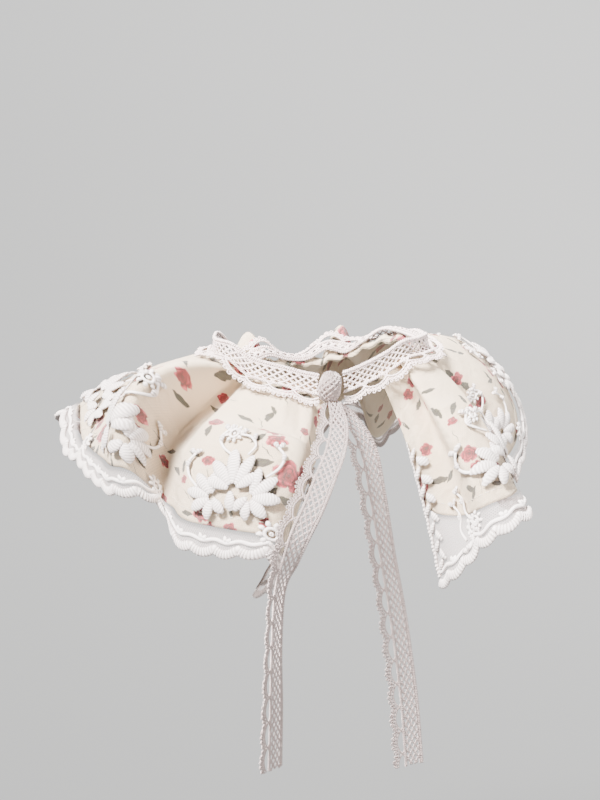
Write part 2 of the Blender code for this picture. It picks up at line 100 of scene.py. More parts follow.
# The printed cotton cape. It is cut as a flat ring, pleated and gathered onto the neck, opened at
# the front and hemmed all round. The neck table gives the seam's height at an azimuth. Each row
# of the fold table is one fold, from the left front edge round the back to the right one: the
# azimuth where it leaves the neck, how far a pleat is lifted off the one below, the azimuth, reach
# and height of the lowest lace, how far the cloth bows, how high it puffs up beside the neck and
# how far it sways along the hem half way down.
NECK_RADIUS = 42.0
CLOTH_DEPTH = 76.0
LACE_DEPTH = 88.0
PUFF_DEPTH = 37.0
BULGE_LEAN = 1.2
COLUMNS, FOLD_STEPS = 219, 61
NECK_ROWS = (
    (-330, -3), (-300, 2), (-270, 3), (-240, 4.5), (-222, 3), (-210, -0.5), (-198, -5),
    (-180, -8.5), (-145, -8.5), (-126, -7), (-112, -2), (-95, 2), (-60, 0), (-30, -6),
    (0, -9), (10, -9), (36, -9),
)
FOLD_ROWS = (
    (4, 0, -28, 62, -92, 1, -7, 7),
    (1, 0, -19, 69, -87, 1, -9, 8),
    (-4, 0, -14, 78, -80, 1, -10, 8),
    (-11, 0, -14, 91, -71, 1, -9.5, 7),
    (-22, 0, -26, 90, -69, 1, -7, 3),
    (-33, 0, -36, 91, -67, 0.8, -4, -4),
    (-40, -1, -41, 87, -62, 0.2, -1, -13),
    (-46, -1, -47, 87, -58, 0, 0, -20),
    (-46, 5, -51, 95, -50, 1.2, 0, -4),
    (-56, 5, -56, 98, -50, 1.1, 0, -6),
    (-68, 2, -65, 99, -48, 0.7, 0, -4),
    (-80, 0, -78, 103, -46, 0.6, 0, -1),
    (-90, 0, -89, 109, -43, 0.5, 0, 0),
    (-99, 0, -100, 115, -30, 0.4, 0, 0),
    (-107, 0, -104, 122, -36, 0.4, 0, 0),
    (-116, 0, -114, 104, -48, 0.1, 1, 0),
    (-127, 0, -127, 108, -34, 0.5, 3, 0),
    (-137, 0, -139, 92, -54, 0.1, 1, 0),
    (-148, 0, -150, 104, -44, 0.8, 13, 0),
    (-158, 0, -160, 91, -56, 0.1, 1, 0),
    (-168, 0, -169, 104, -42, 0.6, 1, 0),
    (-179, 0, -179, 91, -55, 0.1, 1, 0),
    (-191, 0, -190, 106, -42, 0.8, 14, 0),
    (-202, 0, -200, 90, -57, 0.1, 1, 0),
    (-213, 0, -209, 104, -38, 0.6, 2, 0),
    (-222, 0, -216, 105, -28, 0.3, 0, 0),
    (-233, 0, -224, 114, -14, 0.5, 0, 0),
    (-248, 0, -236, 110, -25, 0.5, 0, 0),
    (-262, 0, -257, 94, -48, 0.6, 0, 0),
    (-276, 0, -277, 79, -62, -0.3, 0, 0),
    (-284, 0, -297, 88, -62, 0.3, 0, 0),
    (-297, 5, -311, 108, -56, 1, 0, 0),
    (-314, 5, -319, 108, -62, 1, 0, -3),
    (-305, 0, -320, 97, -74, 0.2, 0, 4),
    (-314, 0, -320, 86, -82, 0.6, 0, 0),
    (-325, 0, -316, 73, -89, 1, 0, 0),
)

# The soft creases in the cotton: the column where each starts, the depths where it starts
# and ends, how many columns it drifts and how wide it is, and its height.
CREASE_ROWS = (
    (8, 4, 34, 3, 1.6, 0.7), (19, 2, 30, -4, 1.4, -0.8), (28, 2, 46, -2.5, 1.3, -2.0),
    (30.5, 2, 54, -2.5, 1.2, 2.2), (14, 1, 22, 1, 0.9, 0.8), (11.4, 1, 26, 0.6, 0.8, -0.8),
    (33, 2, 26, 2, 1.2, 0.8), (50, 5, 44, 2, 1.8, -0.9), (58, 3, 28, -2, 1.5, 0.8),
    (64, 22, 62, -5, 2.6, -0.8), (71, 3, 36, 3, 1.7, 0.9), (79, 6, 30, -3, 1.3, -0.8),
    (84, 18, 60, 4, 2.4, 0.7), (92, 4, 34, 2, 1.4, 0.7), (99, 2, 40, -2, 1.6, -0.8),
    (108, 8, 46, 3, 2.0, 0.9), (115, 3, 28, -2, 1.4, -0.7), (121, 5, 38, 2, 1.8, 0.8),
    (129, 2, 32, -3, 1.5, -0.9), (136, 8, 52, 3, 2.2, 0.8), (143, 4, 30, 2, 1.3, -0.7),
    (150, 2, 36, -2, 1.6, 0.8), (158, 10, 56, -4, 2.3, -0.9), (165, 3, 30, 2, 1.4, 0.8),
    (172, 5, 42, 3, 1.9, -0.8), (181, 16, 64, 4, 2.4, 0.8), (188, 3, 30, -2, 1.5, -0.7),
    (197, 6, 40, 2, 1.6, 0.5), (206, 8, 36, -2, 1.6, -0.5), (214, 12, 48, 2, 1.8, 0.5),
)


def through(values, at):
    """The smooth Catmull-Rom curve through values, read at fractional row numbers."""
    last = len(values) - 2
    k = np.clip(np.floor(at).astype(int), 0, last)
    t = at - k
    ends = np.concatenate([[2 * values[0] - values[1]], values, [2 * values[-1] - values[-2]]])
    a, b, c, d = (ends[k + i] for i in range(4))
    return 0.5 * (
        2 * b + (c - a) * t + (2 * a - 5 * b + 4 * c - d) * t**2 + (3 * b - a - 3 * c + d) * t**3
    )


def curves(rows, at):
    """Each column of a table as a smooth curve, read at fractional row numbers."""
    return [through(values, at) for values in np.array(rows, float).T]


def cylindrical(azimuth, radius, height):
    """Points from an azimuth in degrees, where 0 is the front, a radius and a height."""
    turn = np.radians(azimuth)
    return np.stack([radius * np.sin(turn), -radius * np.cos(turn), height], -1)


def unit(vectors):
    """Vectors made one long."""
    return vectors / np.linalg.norm(vectors, axis=-1, keepdims=True)


def outwards(points):
    """The level direction away from the neck's axis, at each point."""
    return unit(points * (1, 1, 0))


def run_along(line):
    """How far along a line of points each one is."""
    return np.concatenate([[0], np.cumsum(np.linalg.norm(np.diff(line, axis=0), axis=1))])


def track(x, y):
    """Points or steps on a flat sheet, from their numbers along it and across it."""
    return np.stack(np.broadcast_arrays(x, y), -1)


def cape_points(at, lengths):
    """The cape's middle surface. Each fold is a straight line from the neck to the hem, bowed by
    a parabola that uses up the cloth's spare length, lifted by a sine that puffs it up and moved
    sideways by another; the grid has a row for each length down that line and a column for each
    fold number."""
    neck_turn, lift, hem_turn, reach, height, bow, puff, sway = curves(FOLD_ROWS, at)
    neck_height = np.interp(neck_turn, *np.array(NECK_ROWS, float).T)
    neck = cylindrical(neck_turn, NECK_RADIUS + lift, neck_height + lift / 2)
    span = cylindrical(hem_turn, reach, height) - neck
    chord = np.linalg.norm(span, axis=1)[:, None]
    along = span / chord
    lean = cylindrical((neck_turn + hem_turn) / 2, np.ones_like(at), np.full_like(at, BULGE_LEAN))
    bow_way = unit(lean - (lean * along).sum(1)[:, None] * along)
    slack = np.sqrt(3 / 8 * chord * np.maximum(LACE_DEPTH - chord, 0.5))
    steps = np.linspace(0, 1, FOLD_STEPS)[:, None, None]
    path = neck + span * steps + bow_way * bow[:, None] * slack * 4 * steps * (1 - steps)
    puffed = puff[:, None] * np.sin(np.pi * np.clip(steps * LACE_DEPTH / PUFF_DEPTH, 0, 1)) ** 2
    path = path + np.array([0, 0, 1.0]) * puffed
    path = path + np.cross(bow_way, along) * sway[:, None] * np.sin(np.pi * steps)
    run = np.cumsum(np.linalg.norm(np.diff(path, axis=0), axis=2), axis=0)
    run = np.vstack([np.zeros((1, len(at))), run])
    wanted = np.asarray(lengths)[:, None] / LACE_DEPTH * run[-1]
    k = np.clip((run[None] <= wanted[:, None]).sum(1) - 1, 0, len(run) - 2)
    low, high = np.take_along_axis(run, k, 0), np.take_along_axis(run, k + 1, 0)
    share = ((wanted - low) / (high - low))[..., None]
    start = np.take_along_axis(path, k[..., None], 0)
    return start + (np.take_along_axis(path, k[..., None] + 1, 0) - start) * share


def normals(grid):
    """Unit normals of a grid: across a row crossed with down a column."""
    return unit(np.cross(np.gradient(grid, axis=1), np.gradient(grid, axis=0)))


class Sheet:
    """A sheet of cloth as a grid of points, with rows down it and columns along it."""

    def __init__(self, grid, along, down):
        self.grid, self.along, self.down = grid, along, down
        self.way = normals(grid)

    def __call__(self, x, y, out):
        """The point x along and y down, moved out along the normal: bilinear between the grid's
        points, and carried straight on past its edges."""
        x, y = np.broadcast_arrays(x, y)
        j = np.clip(np.searchsorted(self.along, x, "right") - 1, 0, len(self.along) - 2)
        i = np.clip(np.searchsorted(self.down, y, "right") - 1, 0, len(self.down) - 2)
        s = ((x - self.along[j]) / (self.along[j + 1] - self.along[j]))[..., None]
        t = ((y - self.down[i]) / (self.down[i + 1] - self.down[i]))[..., None]
        place, way = (
            (v[i, j] * (1 - s) + v[i, j + 1] * s) * (1 - t)
            + (v[i + 1, j] * (1 - s) + v[i + 1, j + 1] * s) * t
            for v in (self.grid, self.way)
        )
        return place + way * np.asarray(out)[..., None]


FINE, FOLD_PLACES = 4, 1200
cape_columns = np.arange(COLUMNS * FINE + 1) / FINE
cape_depths = np.arange(0, LACE_DEPTH + 4)
fold_places = np.linspace(0, len(FOLD_ROWS) - 1, FOLD_PLACES)
hem_rings = cape_points(fold_places, (CLOTH_DEPTH, LACE_DEPTH))
hem_run = np.concatenate([[0], np.cumsum(np.linalg.norm(np.diff(hem_rings, axis=1), axis=2).mean(0))])
cape_folds = np.interp(cape_columns / COLUMNS * hem_run[-1], hem_run, fold_places)
cape_grid = cape_points(cape_folds, cape_depths)
cape_grid[:, FINE:-FINE] = (
    cape_grid[:, :-2 * FINE] + 2 * cape_grid[:, FINE:-FINE] + cape_grid[:, 2 * FINE:]
) / 4
for start, top, bottom, drift, width, height in CREASE_ROWS:
    fall = np.clip((cape_depths - top) / (bottom - top), 0, 1)[:, None]
    across = (cape_columns - start - drift * fall) / width
    cape_grid += normals(cape_grid) * (height * np.sin(np.pi * fall) * np.exp(-across**2))[..., None]
LACE_LENGTH = hem_run[-1]
COLUMN_WIDTH = LACE_LENGTH / COLUMNS
cape = Sheet(cape_grid, cape_columns, cape_depths)


def make_mesh(name, points, faces, flat=None, caps=()):
    """A mesh object from numpy points in millimetres and quads, with a UV for each quad corner
    in flat, and end caps of any number of corners."""
    mesh = bpy.data.meshes.new(name)
    mesh.from_pydata((points * 0.001).tolist(), [], faces.tolist() + [list(cap) for cap in caps])
    if flat is not None:
        layer = mesh.uv_layers.new(name="flat")
        values = np.zeros((len(mesh.loops), 2), np.float32)
        values[: flat.size // 2] = flat.reshape(-1, 2)
        layer.data.foreach_set("uv", values.ravel())
    mesh.shade_smooth()
    made = bpy.data.objects.new(name, mesh)
    bpy.context.scene.collection.objects.link(made)
    return made


def add_mark(made, name, values):
    """Keeps a number for each of an object's points, which its material reads."""
    mark = made.data.attributes.new(name, "FLOAT", "POINT")
    mark.data.foreach_set("value", values)


def ring_quads(steps, sides):
    """The ring numbers and the side numbers of the corners of the quads between closed rings."""
    i, j = np.meshgrid(np.arange(steps), np.arange(sides), indexing="ij")
    corners = (i, i, i + 1, i + 1), (j, j + 1, j + 1, j)
    return [np.stack(numbers, -1).reshape(-1, 4) for numbers in corners]


def shell(name, outer, inner, flat):
    """A closed thin shell between two grids of points. Its faces join each grid's neighbours,
    and a rim of quads closes the edge; flat is the cloth's flat pattern. The inner points are
    marked as inside."""
    rows, columns = outer.shape[:2]
    number = np.arange(rows * columns).reshape(rows, columns)
    top = np.stack([number[:-1, :-1], number[1:, :-1], number[1:, 1:], number[:-1, 1:]], -1)
    top = top.reshape(-1, 4)
    rim = np.concatenate([number[0], number[1:, -1], number[-1, -2::-1], number[-2:0:-1, 0]])
    after = np.roll(rim, -1)
    count = rows * columns
    side_faces = np.stack([rim, after, after + count, rim + count], -1)
    faces = np.concatenate([top, top[:, ::-1] + count, side_faces])
    points = np.concatenate([outer.reshape(-1, 3), inner.reshape(-1, 3)])
    corners = np.concatenate([flat.reshape(-1, 2), flat.reshape(-1, 2)])[faces]
    made = make_mesh(name, points, faces, corners)
    add_mark(made, "inside", np.repeat([0.0, 1.0], count))
    return made


class Field:
    """A value that varies over a surface. Its operators add Math nodes to the material."""

    def __init__(self, finish, socket):
        self.finish, self.socket = finish, socket

    def math(self, operation, *values):
        inputs = dict(enumerate((self, *values)))
        return self.finish.node("ShaderNodeMath", {"operation": operation}, inputs)

    def __add__(self, other):
        return self.math("ADD", other)

    def __mul__(self, other):
        return self.math("MULTIPLY", other)

    def __sub__(self, other):
        return self.math("SUBTRACT", other)

    def __rsub__(self, other):
        return self.finish.node("ShaderNodeMath", {"operation": "SUBTRACT"}, {0: other, 1: self})

    __radd__ = __add__
    __rmul__ = __mul__

    def clipped(self):
        return self.finish.node("ShaderNodeClamp", {}, {"Value": self})

    def __getitem__(self, axis):
        return self.finish.node("ShaderNodeSeparateXYZ", {}, {0: self}, axis)


class Finish:
    """A Principled material. Constants are set on the shader's own sockets."""

    def __init__(self, name, **constants):
        self.material = bpy.data.materials.new(name)
        self.material.use_nodes = True
        self.tree = self.material.node_tree
        self.shader = self.tree.nodes["Principled BSDF"]
        for socket, value in constants.items():
            self.shader.inputs[socket.replace("_", " ")].default_value = value

    def node(self, kind, settings, inputs, output=0):
        """Adds a node with its settings, then its sockets' values or links."""
        made = self.tree.nodes.new(kind)
        for name, value in settings.items():
            setattr(made, name, value)
        for socket, value in inputs.items():
            if isinstance(value, Field):
                self.tree.links.new(value.socket, made.inputs[socket])
            else:
                made.inputs[socket].default_value = value
        return Field(self, made.outputs[output])

    def flat(self):
        """The piece's flat pattern in millimetres."""
        return self.node("ShaderNodeUVMap", {"uv_map": "flat"}, {})

    def mark(self, name):
        """A number kept for each point."""
        return self.node("ShaderNodeAttribute", {"attribute_name": name}, {}, "Fac")

    def vector(self, operation, *values, output=0):
        inputs = dict(enumerate(values))
        return self.node("ShaderNodeVectorMath", {"operation": operation}, inputs, output)

    def place(self):
        """The place on the object, in metres."""
        return self.node("ShaderNodeTexCoord", {}, {}, "Object")

    def noise(self, at, scale, detail=2.0, output=0):
        inputs = {"Vector": at, "Scale": scale, "Detail": detail}
        return self.node("ShaderNodeTexNoise", {}, inputs, output)

    def mix(self, share, first, second):
        """A colour between two, by a share from 0 to 1."""
        first, second = (v if isinstance(v, Field) else (*v, 1) for v in (first, second))
        inputs = {0: share, 6: first, 7: second}
        return self.node("ShaderNodeMix", {"data_type": "RGBA"}, inputs, 2)

    def ramp(self, share, stops):
        """A colour read from a few stops, each a place from 0 to 1 and a colour."""
        made = self.tree.nodes.new("ShaderNodeValToRGB")
        points = made.color_ramp.elements
        while len(points) < len(stops):
            points.new(0.5)
        for point, (place, colour) in zip(points, stops):
            point.position = place
            point.color = (*colour, 1)
        self.tree.links.new(share.socket, made.inputs[0])
        return Field(self, made.outputs[0])

    def set(self, socket, value):
        self.tree.links.new(value.socket, self.shader.inputs[socket])

    def bump(self, height, distance):
        """Relief from a height of 0 to 1, as deep as distance in metres."""
        inputs = {"Height": height, "Strength": 1.0, "Distance": distance}
        self.set("Normal", self.node("ShaderNodeBump", {}, inputs))


# The backdrop is a bowl of pale grey paper. Most of its tone is an even glow of its own, which
# gets a little stronger above the floor, so that no edge and hardly any shadow shows.
FLOOR_HEIGHT, BOWL_RADIUS, BOWL_HEIGHT, GLOW_RISE = -320, 2400, 2600, 600
BOWL_SIDES, BOWL_RINGS = 96, 40
azimuth, rise = np.meshgrid(360 * np.arange(BOWL_SIDES) / BOWL_SIDES, np.linspace(0, 1, BOWL_RINGS))
bowl_radius = BOWL_RADIUS * np.sin(rise * np.pi / 2) ** 0.35
bowl_height = FLOOR_HEIGHT + BOWL_HEIGHT * (1 - np.cos(rise * np.pi / 2)) ** 1.6
ring, side = ring_quads(BOWL_RINGS - 1, BOWL_SIDES)
bowl_points = cylindrical(azimuth, bowl_radius, bowl_height).reshape(-1, 3)
backdrop = make_mesh("backdrop", bowl_points, ring * BOWL_SIDES + side % BOWL_SIDES)
paper = Finish(
    "backdrop_paper", Roughness=0.95, Emission_Strength=1.0, Base_Color=(*linear(32, 32, 32), 1)
)
glow = ((paper.place()[2] * 1000 - FLOOR_HEIGHT) * (1 / GLOW_RISE)).clipped()
paper.set("Emission Color", paper.mix(glow, linear(216, 217, 216), linear(231, 232, 231)))
backdrop.data.materials.append(paper.material)

# The print on the cotton: garden roses with olive leaves, in a repeat listed one by one.
# Each row is one rose or leaf, with its middle, its turn in degrees, and half its length and
# width in millimetres; a leaf also has a bend, and a stem is a very narrow leaf.
PRINT_WIDTH, PRINT_HEIGHT = 74.0, 66.0
PRINT_SHIFT = (-17.0, 80.5)
ROSE_ROWS = (
    (16, -7, 20, 6.4), (7.6, -5.2, 140, 4.4), (16.8, 7.4, 60, 3.6), (15.6, 13.4, 200, 3.3),
    (17.8, 18.8, 80, 1.9), (-2.5, 4, 100, 3.2), (-25, -12.5, 10, 3.7), (-25.6, -18.8, 110, 3.0),
    (-24.4, 3, 250, 2.0), (-12, 30, 300, 3.2), (-7.2, 26.4, 30, 2.6), (-15, 17.6, 170, 3.0),
    (-33.6, -22.4, 45, 3.3), (27, -24, 15, 2.6), (30, 24, 95, 2.8), (-36, 6, 30, 2.4),
    (2.5, -26, 70, 3.4), (3.5, 21, 140, 2.2),
)
LEAF_ROWS = (
    (23.8, -0.6, 200, 4.8, 2.0, 0.3), (25.4, -6.4, 240, 4.0, 1.6, -0.3), (24.6, -14.0, 150, 5.0, 2.0, 0.3),
    (17.2, -16.4, 200, 4.8, 1.8, 0.3), (-1.6, -9.4, 20, 4.6, 1.6, -0.3), (-7.6, -10.6, 340, 3.6, 1.4, 0.2),
    (11, -14.5, 300, 6.2, 0.34, 0.5), (20.8, 3.4, 75, 4.8, 0.34, -0.4), (21.6, 10.2, 150, 3.4, 1.4, 0.2),
    (17.2, 24.2, 100, 5.0, 0.32, 0.4), (20.6, 27.4, 60, 3.4, 1.2, 0.2), (13.6, 28.6, 130, 3.4, 1.2, -0.2),
    (11, 31.4, 95, 2.6, 0.9, 0.2), (-19, -23.6, 45, 3.6, 1.2, 0.2), (-19.6, -26.2, 330, 3.8, 1.2, -0.2),
    (-24.4, -26, 100, 4.0, 0.3, 0.4), (-21, 9.6, 70, 4.0, 1.4, 0.3), (-26.4, 8.4, 120, 3.4, 1.2, -0.3),
    (-23.4, -3.4, 80, 4.4, 0.3, 0.3), (-19.6, -9.6, 30, 3.2, 1.2, 0.2), (-17, 24.6, 50, 4.6, 0.3, 0.3),
    (-21.4, 20.4, 10, 3.0, 1.1, 0.2), (-9, 20.8, 320, 3.0, 1.1, -0.2), (-31, -28.4, 200, 3.2, 1.2, 0.2),
    (-36, -16, 100, 3.0, 1.0, -0.2), (30.6, -29.4, 60, 3.2, 1.1, 0.2), (23.4, -27.8, 20, 4.0, 0.3, 0.4),
    (33.2, 19.6, 300, 3.4, 1.2, 0.2), (26, 20.6, 220, 4.2, 0.3, -0.4), (-33, 11, 60, 3.0, 1.1, 0.2),
    (-34, 0.6, 110, 4.0, 0.3, 0.3), (6.6, -23.4, 40, 3.6, 1.4, 0.2), (-2.2, -29, 210, 3.6, 1.4, -0.2),
    (5.4, -30.6, 290, 4.6, 0.3, 0.4), (0.8, 17.4, 250, 3.0, 1.1, 0.2), (6.6, 17.6, 300, 3.6, 0.28, 0.3),
)

cotton = Finish("printed_cotton", Roughness=0.88, Sheen_Weight=0.25, Sheen_Roughness=0.5)
print_place = cotton.vector("ADD", cotton.flat(), (*PRINT_SHIFT, 0))
print_wobble = cotton.noise(print_place, 0.5, 1.0, "Color")
print_place = cotton.vector("MULTIPLY_ADD", print_wobble, (1.6, 1.6, 0), print_place)


def motif_place(x, y, turn, length, width):
    """The place inside one motif: its middle is 0, and its edge is at 1 along each half size."""
    moved = cotton.vector("SUBTRACT", print_place, (x, y, 0))
    half = (PRINT_WIDTH / 2, PRINT_HEIGHT / 2, 1)
    wrapped = cotton.vector("WRAP", moved, half, tuple(-v for v in half))
    return cotton.node(
        "ShaderNodeMapping", {"vector_type": "TEXTURE"},
        {"Vector": wrapped, "Rotation": (0, 0, np.radians(turn)), "Scale": (length, width, 1)},
    )


rose_spot, rose_far = None, None
for x, y, turn, radius in ROSE_ROWS:
    spot = motif_place(x, y, turn, radius, radius)
    far = cotton.vector("LENGTH", spot, output="Value")
    if rose_spot is None:
        rose_spot, rose_far = spot, far
    else:
        nearer = far.math("LESS_THAN", rose_far)
        either = {0: nearer, 4: rose_spot, 5: spot}
        rose_spot = cotton.node("ShaderNodeMix", {"data_type": "VECTOR"}, either, 1)
        rose_far = far.math("MINIMUM", rose_far)
leaf_inside = None
for x, y, turn, length, width, bend in LEAF_ROWS:
    spot = motif_place(x, y, turn, length, width)
    along, across = spot[0], spot[1]
    bent = (across + bend * (along * along) * (length / width) * 0.35).math("ABSOLUTE")
    inside = (1 - along * along - bent) * width
    leaf_inside = inside if leaf_inside is None else leaf_inside.math("MAXIMUM", inside)

rose_noise = cotton.noise(rose_spot, 2.6, 2.0)
rose_turn = rose_spot[1].math("ARCTAN2", rose_spot[0]) + rose_noise * 0.8


def whorl_edge(radius, depth, petals, shift):
    """How far out one whorl of petals reaches: a radius with a rounded bump for each petal."""
    return radius + depth * (rose_turn * (petals / 2) + shift).math("SINE").math("ABSOLUTE")


def whorl_tone(inner, outer):
    """How pale a petal is between its whorl's inner and outer edges: its foot is deep pink."""
    return ((rose_far - inner) * (1 / 0.3)).math("MINIMUM", (outer - rose_far) * 4 + 0.5)


outer_edge = whorl_edge(0.72, 0.24, 5, 0.0)
middle_edge = whorl_edge(0.44, 0.16, 4, 0.9)
heart_edge = whorl_edge(0.18, 0.12, 3, 2.0)
beyond_middle = ((rose_far - middle_edge) * 30).clipped()
beyond_heart = ((rose_far - heart_edge) * 30).clipped()
rose_mask = ((outer_edge - rose_far) * 12).clipped()
petal_tone = beyond_middle * whorl_tone(middle_edge, outer_edge) + (1 - beyond_middle) * (
    beyond_heart * whorl_tone(heart_edge, middle_edge) * 0.8 + (1 - beyond_heart) * rose_far * 1.6
)
rose_wash = cotton.noise(print_place, 0.35, 2.0)
petal_tone = (petal_tone * 0.9 + rose_noise * 0.5 + rose_wash * 0.9 - 0.62).clipped()
rose_colour = cotton.ramp(
    petal_tone,
    ((0.1, linear(50, 0, 8)), (0.34, linear(118, 0, 22)), (0.6, linear(176, 18, 50)),
     (0.92, linear(226, 108, 116))),
)
leaf_mask = (leaf_inside * 3.2).clipped()
leaf_noise = cotton.noise(print_place, 0.9, 2.0)
leaf_colour = cotton.ramp(
    leaf_noise, ((0.35, linear(10, 13, 6)), (0.5, linear(24, 29, 14)), (0.66, linear(52, 55, 28)))
)
ground = cotton.mix(cotton.noise(print_place, 0.12, 3.0), linear(240, 214, 180), linear(250, 228, 198))
printed = cotton.mix(leaf_mask * 0.92, ground, leaf_colour)
printed = cotton.mix(rose_mask * 0.95, printed, rose_colour)
printed = cotton.mix(cotton.mark("inside") * 0.3, printed, linear(238, 212, 180))
cotton.set("Base Color", printed)
threads = cotton.flat()
weave = (threads[0] * 13).math("SINE") * (threads[1] * 13).math("SINE") * 0.25
crumple = cotton.noise(threads, 0.16, 4.0)
cotton.bump(weave + crumple * 5.0, 0.0006)

CLOTH_THICKNESS, HEM_THICKNESS, HEM_WIDTH = 0.5, 0.95, 6.0
GATHERS, GATHER_HEIGHT, GATHER_DEPTH = 30, 0.7, 26.0
RING_RADIUS = 42.0
LEFT_CUT, RIGHT_CUT = (9, 11.0), (16, 20.0)
NECK_STAND, NECK_SPREAD = 2.8, 0.7
SHELL_COLUMNS, CLOTH_ROWS = np.arange(COLUMNS * 3 + 1) / 3, 56
HEM_EASE, RIM_ROUNDING, RIM_SHARE = 0.35, 1.2, 0.35


def gather(x, y):
    """The small gathers at the neck: a sine round it that fades down the cloth."""
    fade = np.clip(1 - y / GATHER_DEPTH, 0, 1)
    return GATHER_HEIGHT * fade * np.sin(2 * np.pi * GATHERS * x / COLUMNS + 0.8 * np.sin(x / 9))


def flat_ring(x, y):
    """The flat pattern: a ring whose rim is the hem, in millimetres."""
    turn = x * COLUMN_WIDTH / (RING_RADIUS + CLOTH_DEPTH)
    radius = RING_RADIUS + y
    return track(radius * np.sin(turn), -radius * np.cos(turn))


def hem_depth(x):
    """How far down the cotton reaches: its hem is cut back towards each front corner."""
    left, right = np.clip(1 - x / LEFT_CUT[0], 0, 1), np.clip(1 - (COLUMNS - x) / RIGHT_CUT[0], 0, 1)
    return CLOTH_DEPTH - LEFT_CUT[1] * left**1.5 - RIGHT_CUT[1] * right**1.3


def cotton_points(x, y, out):
    """The cotton's points. Above the neck seam the cloth stands up inside the tape."""
    place = cape(x, np.maximum(y, 0), out)
    rise = np.maximum(-y, 0)[..., None]
    return place + rise * (outwards(place) * NECK_SPREAD + (0, 0, 1))


cloth_x, cloth_share = np.meshgrid(SHELL_COLUMNS, np.linspace(0, 1, CLOTH_ROWS))
cloth_y = cloth_share * (hem_depth(cloth_x) + NECK_STAND) - NECK_STAND
from_front = np.minimum(cloth_x, COLUMNS - cloth_x) * COLUMN_WIDTH
from_edge = np.minimum(hem_depth(cloth_x) - cloth_y, from_front)
turned = 1 / (1 + np.exp((from_edge - HEM_WIDTH) / HEM_EASE))
rounded = RIM_SHARE + (1 - RIM_SHARE) * np.clip(from_edge / RIM_ROUNDING, 0, 1) ** 0.5
wall = (CLOTH_THICKNESS + (HEM_THICKNESS - CLOTH_THICKNESS) * turned) * rounded
ripple = gather(cloth_x, cloth_y)
cloth = shell(
    "cape_cotton", cotton_points(cloth_x, cloth_y, ripple + CLOTH_THICKNESS / 2),
    cotton_points(cloth_x, cloth_y, ripple + CLOTH_THICKNESS / 2 - wall),
    flat_ring(cloth_x, cloth_y),
)
cloth.data.materials.append(cotton.material)
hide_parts("cape_cloth")
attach(cloth, "root")

# The sheer net flounce over the cape, with white satin-stitched flowers and a scalloped edge.
# It is a strip of fine net gathered onto the cape, and reaches below the cotton's hem.
LACE_TOP = 30.0
LOBE_COLUMNS, FIRST_NOTCH, SCALLOP_COLUMNS = 18, 12, 3
NOTCH, SCALLOP, LOBE_ROUNDNESS, EDGE_INSET = 4.0, 1.8, 0.7, 1.5
NET_OUT, NET_THICKNESS, NET_ROWS = 1.15, 0.22, 42


def hollow(x, roundness):
    """How far a column is from a lobe's full depth: 1 at a notch and 0 in the lobe's middle."""
    return 1 - np.abs(np.sin(np.pi * (x - FIRST_NOTCH) / LOBE_COLUMNS)) ** roundness


def lace_edge(x):
    """How far down the lace reaches: round lobes between notches, with small scallops along
    them, each a sine of the column."""
    scallop = np.abs(np.sin(np.pi * x / SCALLOP_COLUMNS))
    return LACE_DEPTH - NOTCH * hollow(x, LOBE_ROUNDNESS) - SCALLOP * (1 - scallop)


net = Finish("embroidered_net", Roughness=0.75, Sheen_Weight=0.2)
NET_CELL, NET_FADE = 0.95, 16.0
HALF_CELL = np.array([0.5, np.sqrt(3) / 2])
net_flat = net.vector("MULTIPLY", net.flat(), (1 / NET_CELL,) * 3)


def hexagon(shift):
    """How far a point is from the middle of its own six-sided cell, for one half of the cells:
    the larger of its distances across two pairs of sides."""
    moved = net.vector("ADD", net_flat, (*HALF_CELL * shift, 0))
    cell = net.vector("WRAP", moved, (*HALF_CELL, 1), (*-HALF_CELL, -1))
    x, y = cell[0].math("ABSOLUTE"), cell[1].math("ABSOLUTE")
    return (x * HALF_CELL[0] + y * HALF_CELL[1]).math("MAXIMUM", x)


net_thread = ((hexagon(0).math("MINIMUM", hexagon(1)) - 0.36) * 14).clipped()
net_fade = ((net.flat()[1] - LACE_TOP) * (1 / NET_FADE)).clipped()
net_beyond = net.mark("beyond")
net.set("Base Color", net.mix(net_beyond, linear(140, 118, 112), linear(238, 224, 220)))
net.set("Alpha", net_thread * 0.06 * net_fade + (net_thread * 0.22 + 0.1) * net_beyond)

net_x, net_share = np.meshgrid(SHELL_COLUMNS, np.linspace(0, 1, NET_ROWS))
net_y = LACE_TOP + (lace_edge(net_x) - EDGE_INSET - LACE_TOP) * net_share
net_sides = [cape(net_x, net_y, np.full_like(net_x, out)) for out in (NET_OUT + NET_THICKNESS, NET_OUT)]
net_sheet = shell("lace_net", *net_sides, track(net_x * COLUMN_WIDTH, net_y))
net_sheet.data.materials.append(net.material)
add_mark(net_sheet, "beyond", np.tile(np.clip((net_y - hem_depth(net_x)) / 2, 0, 1).ravel(), 2))
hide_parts("cape_lace")
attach(net_sheet, "root")


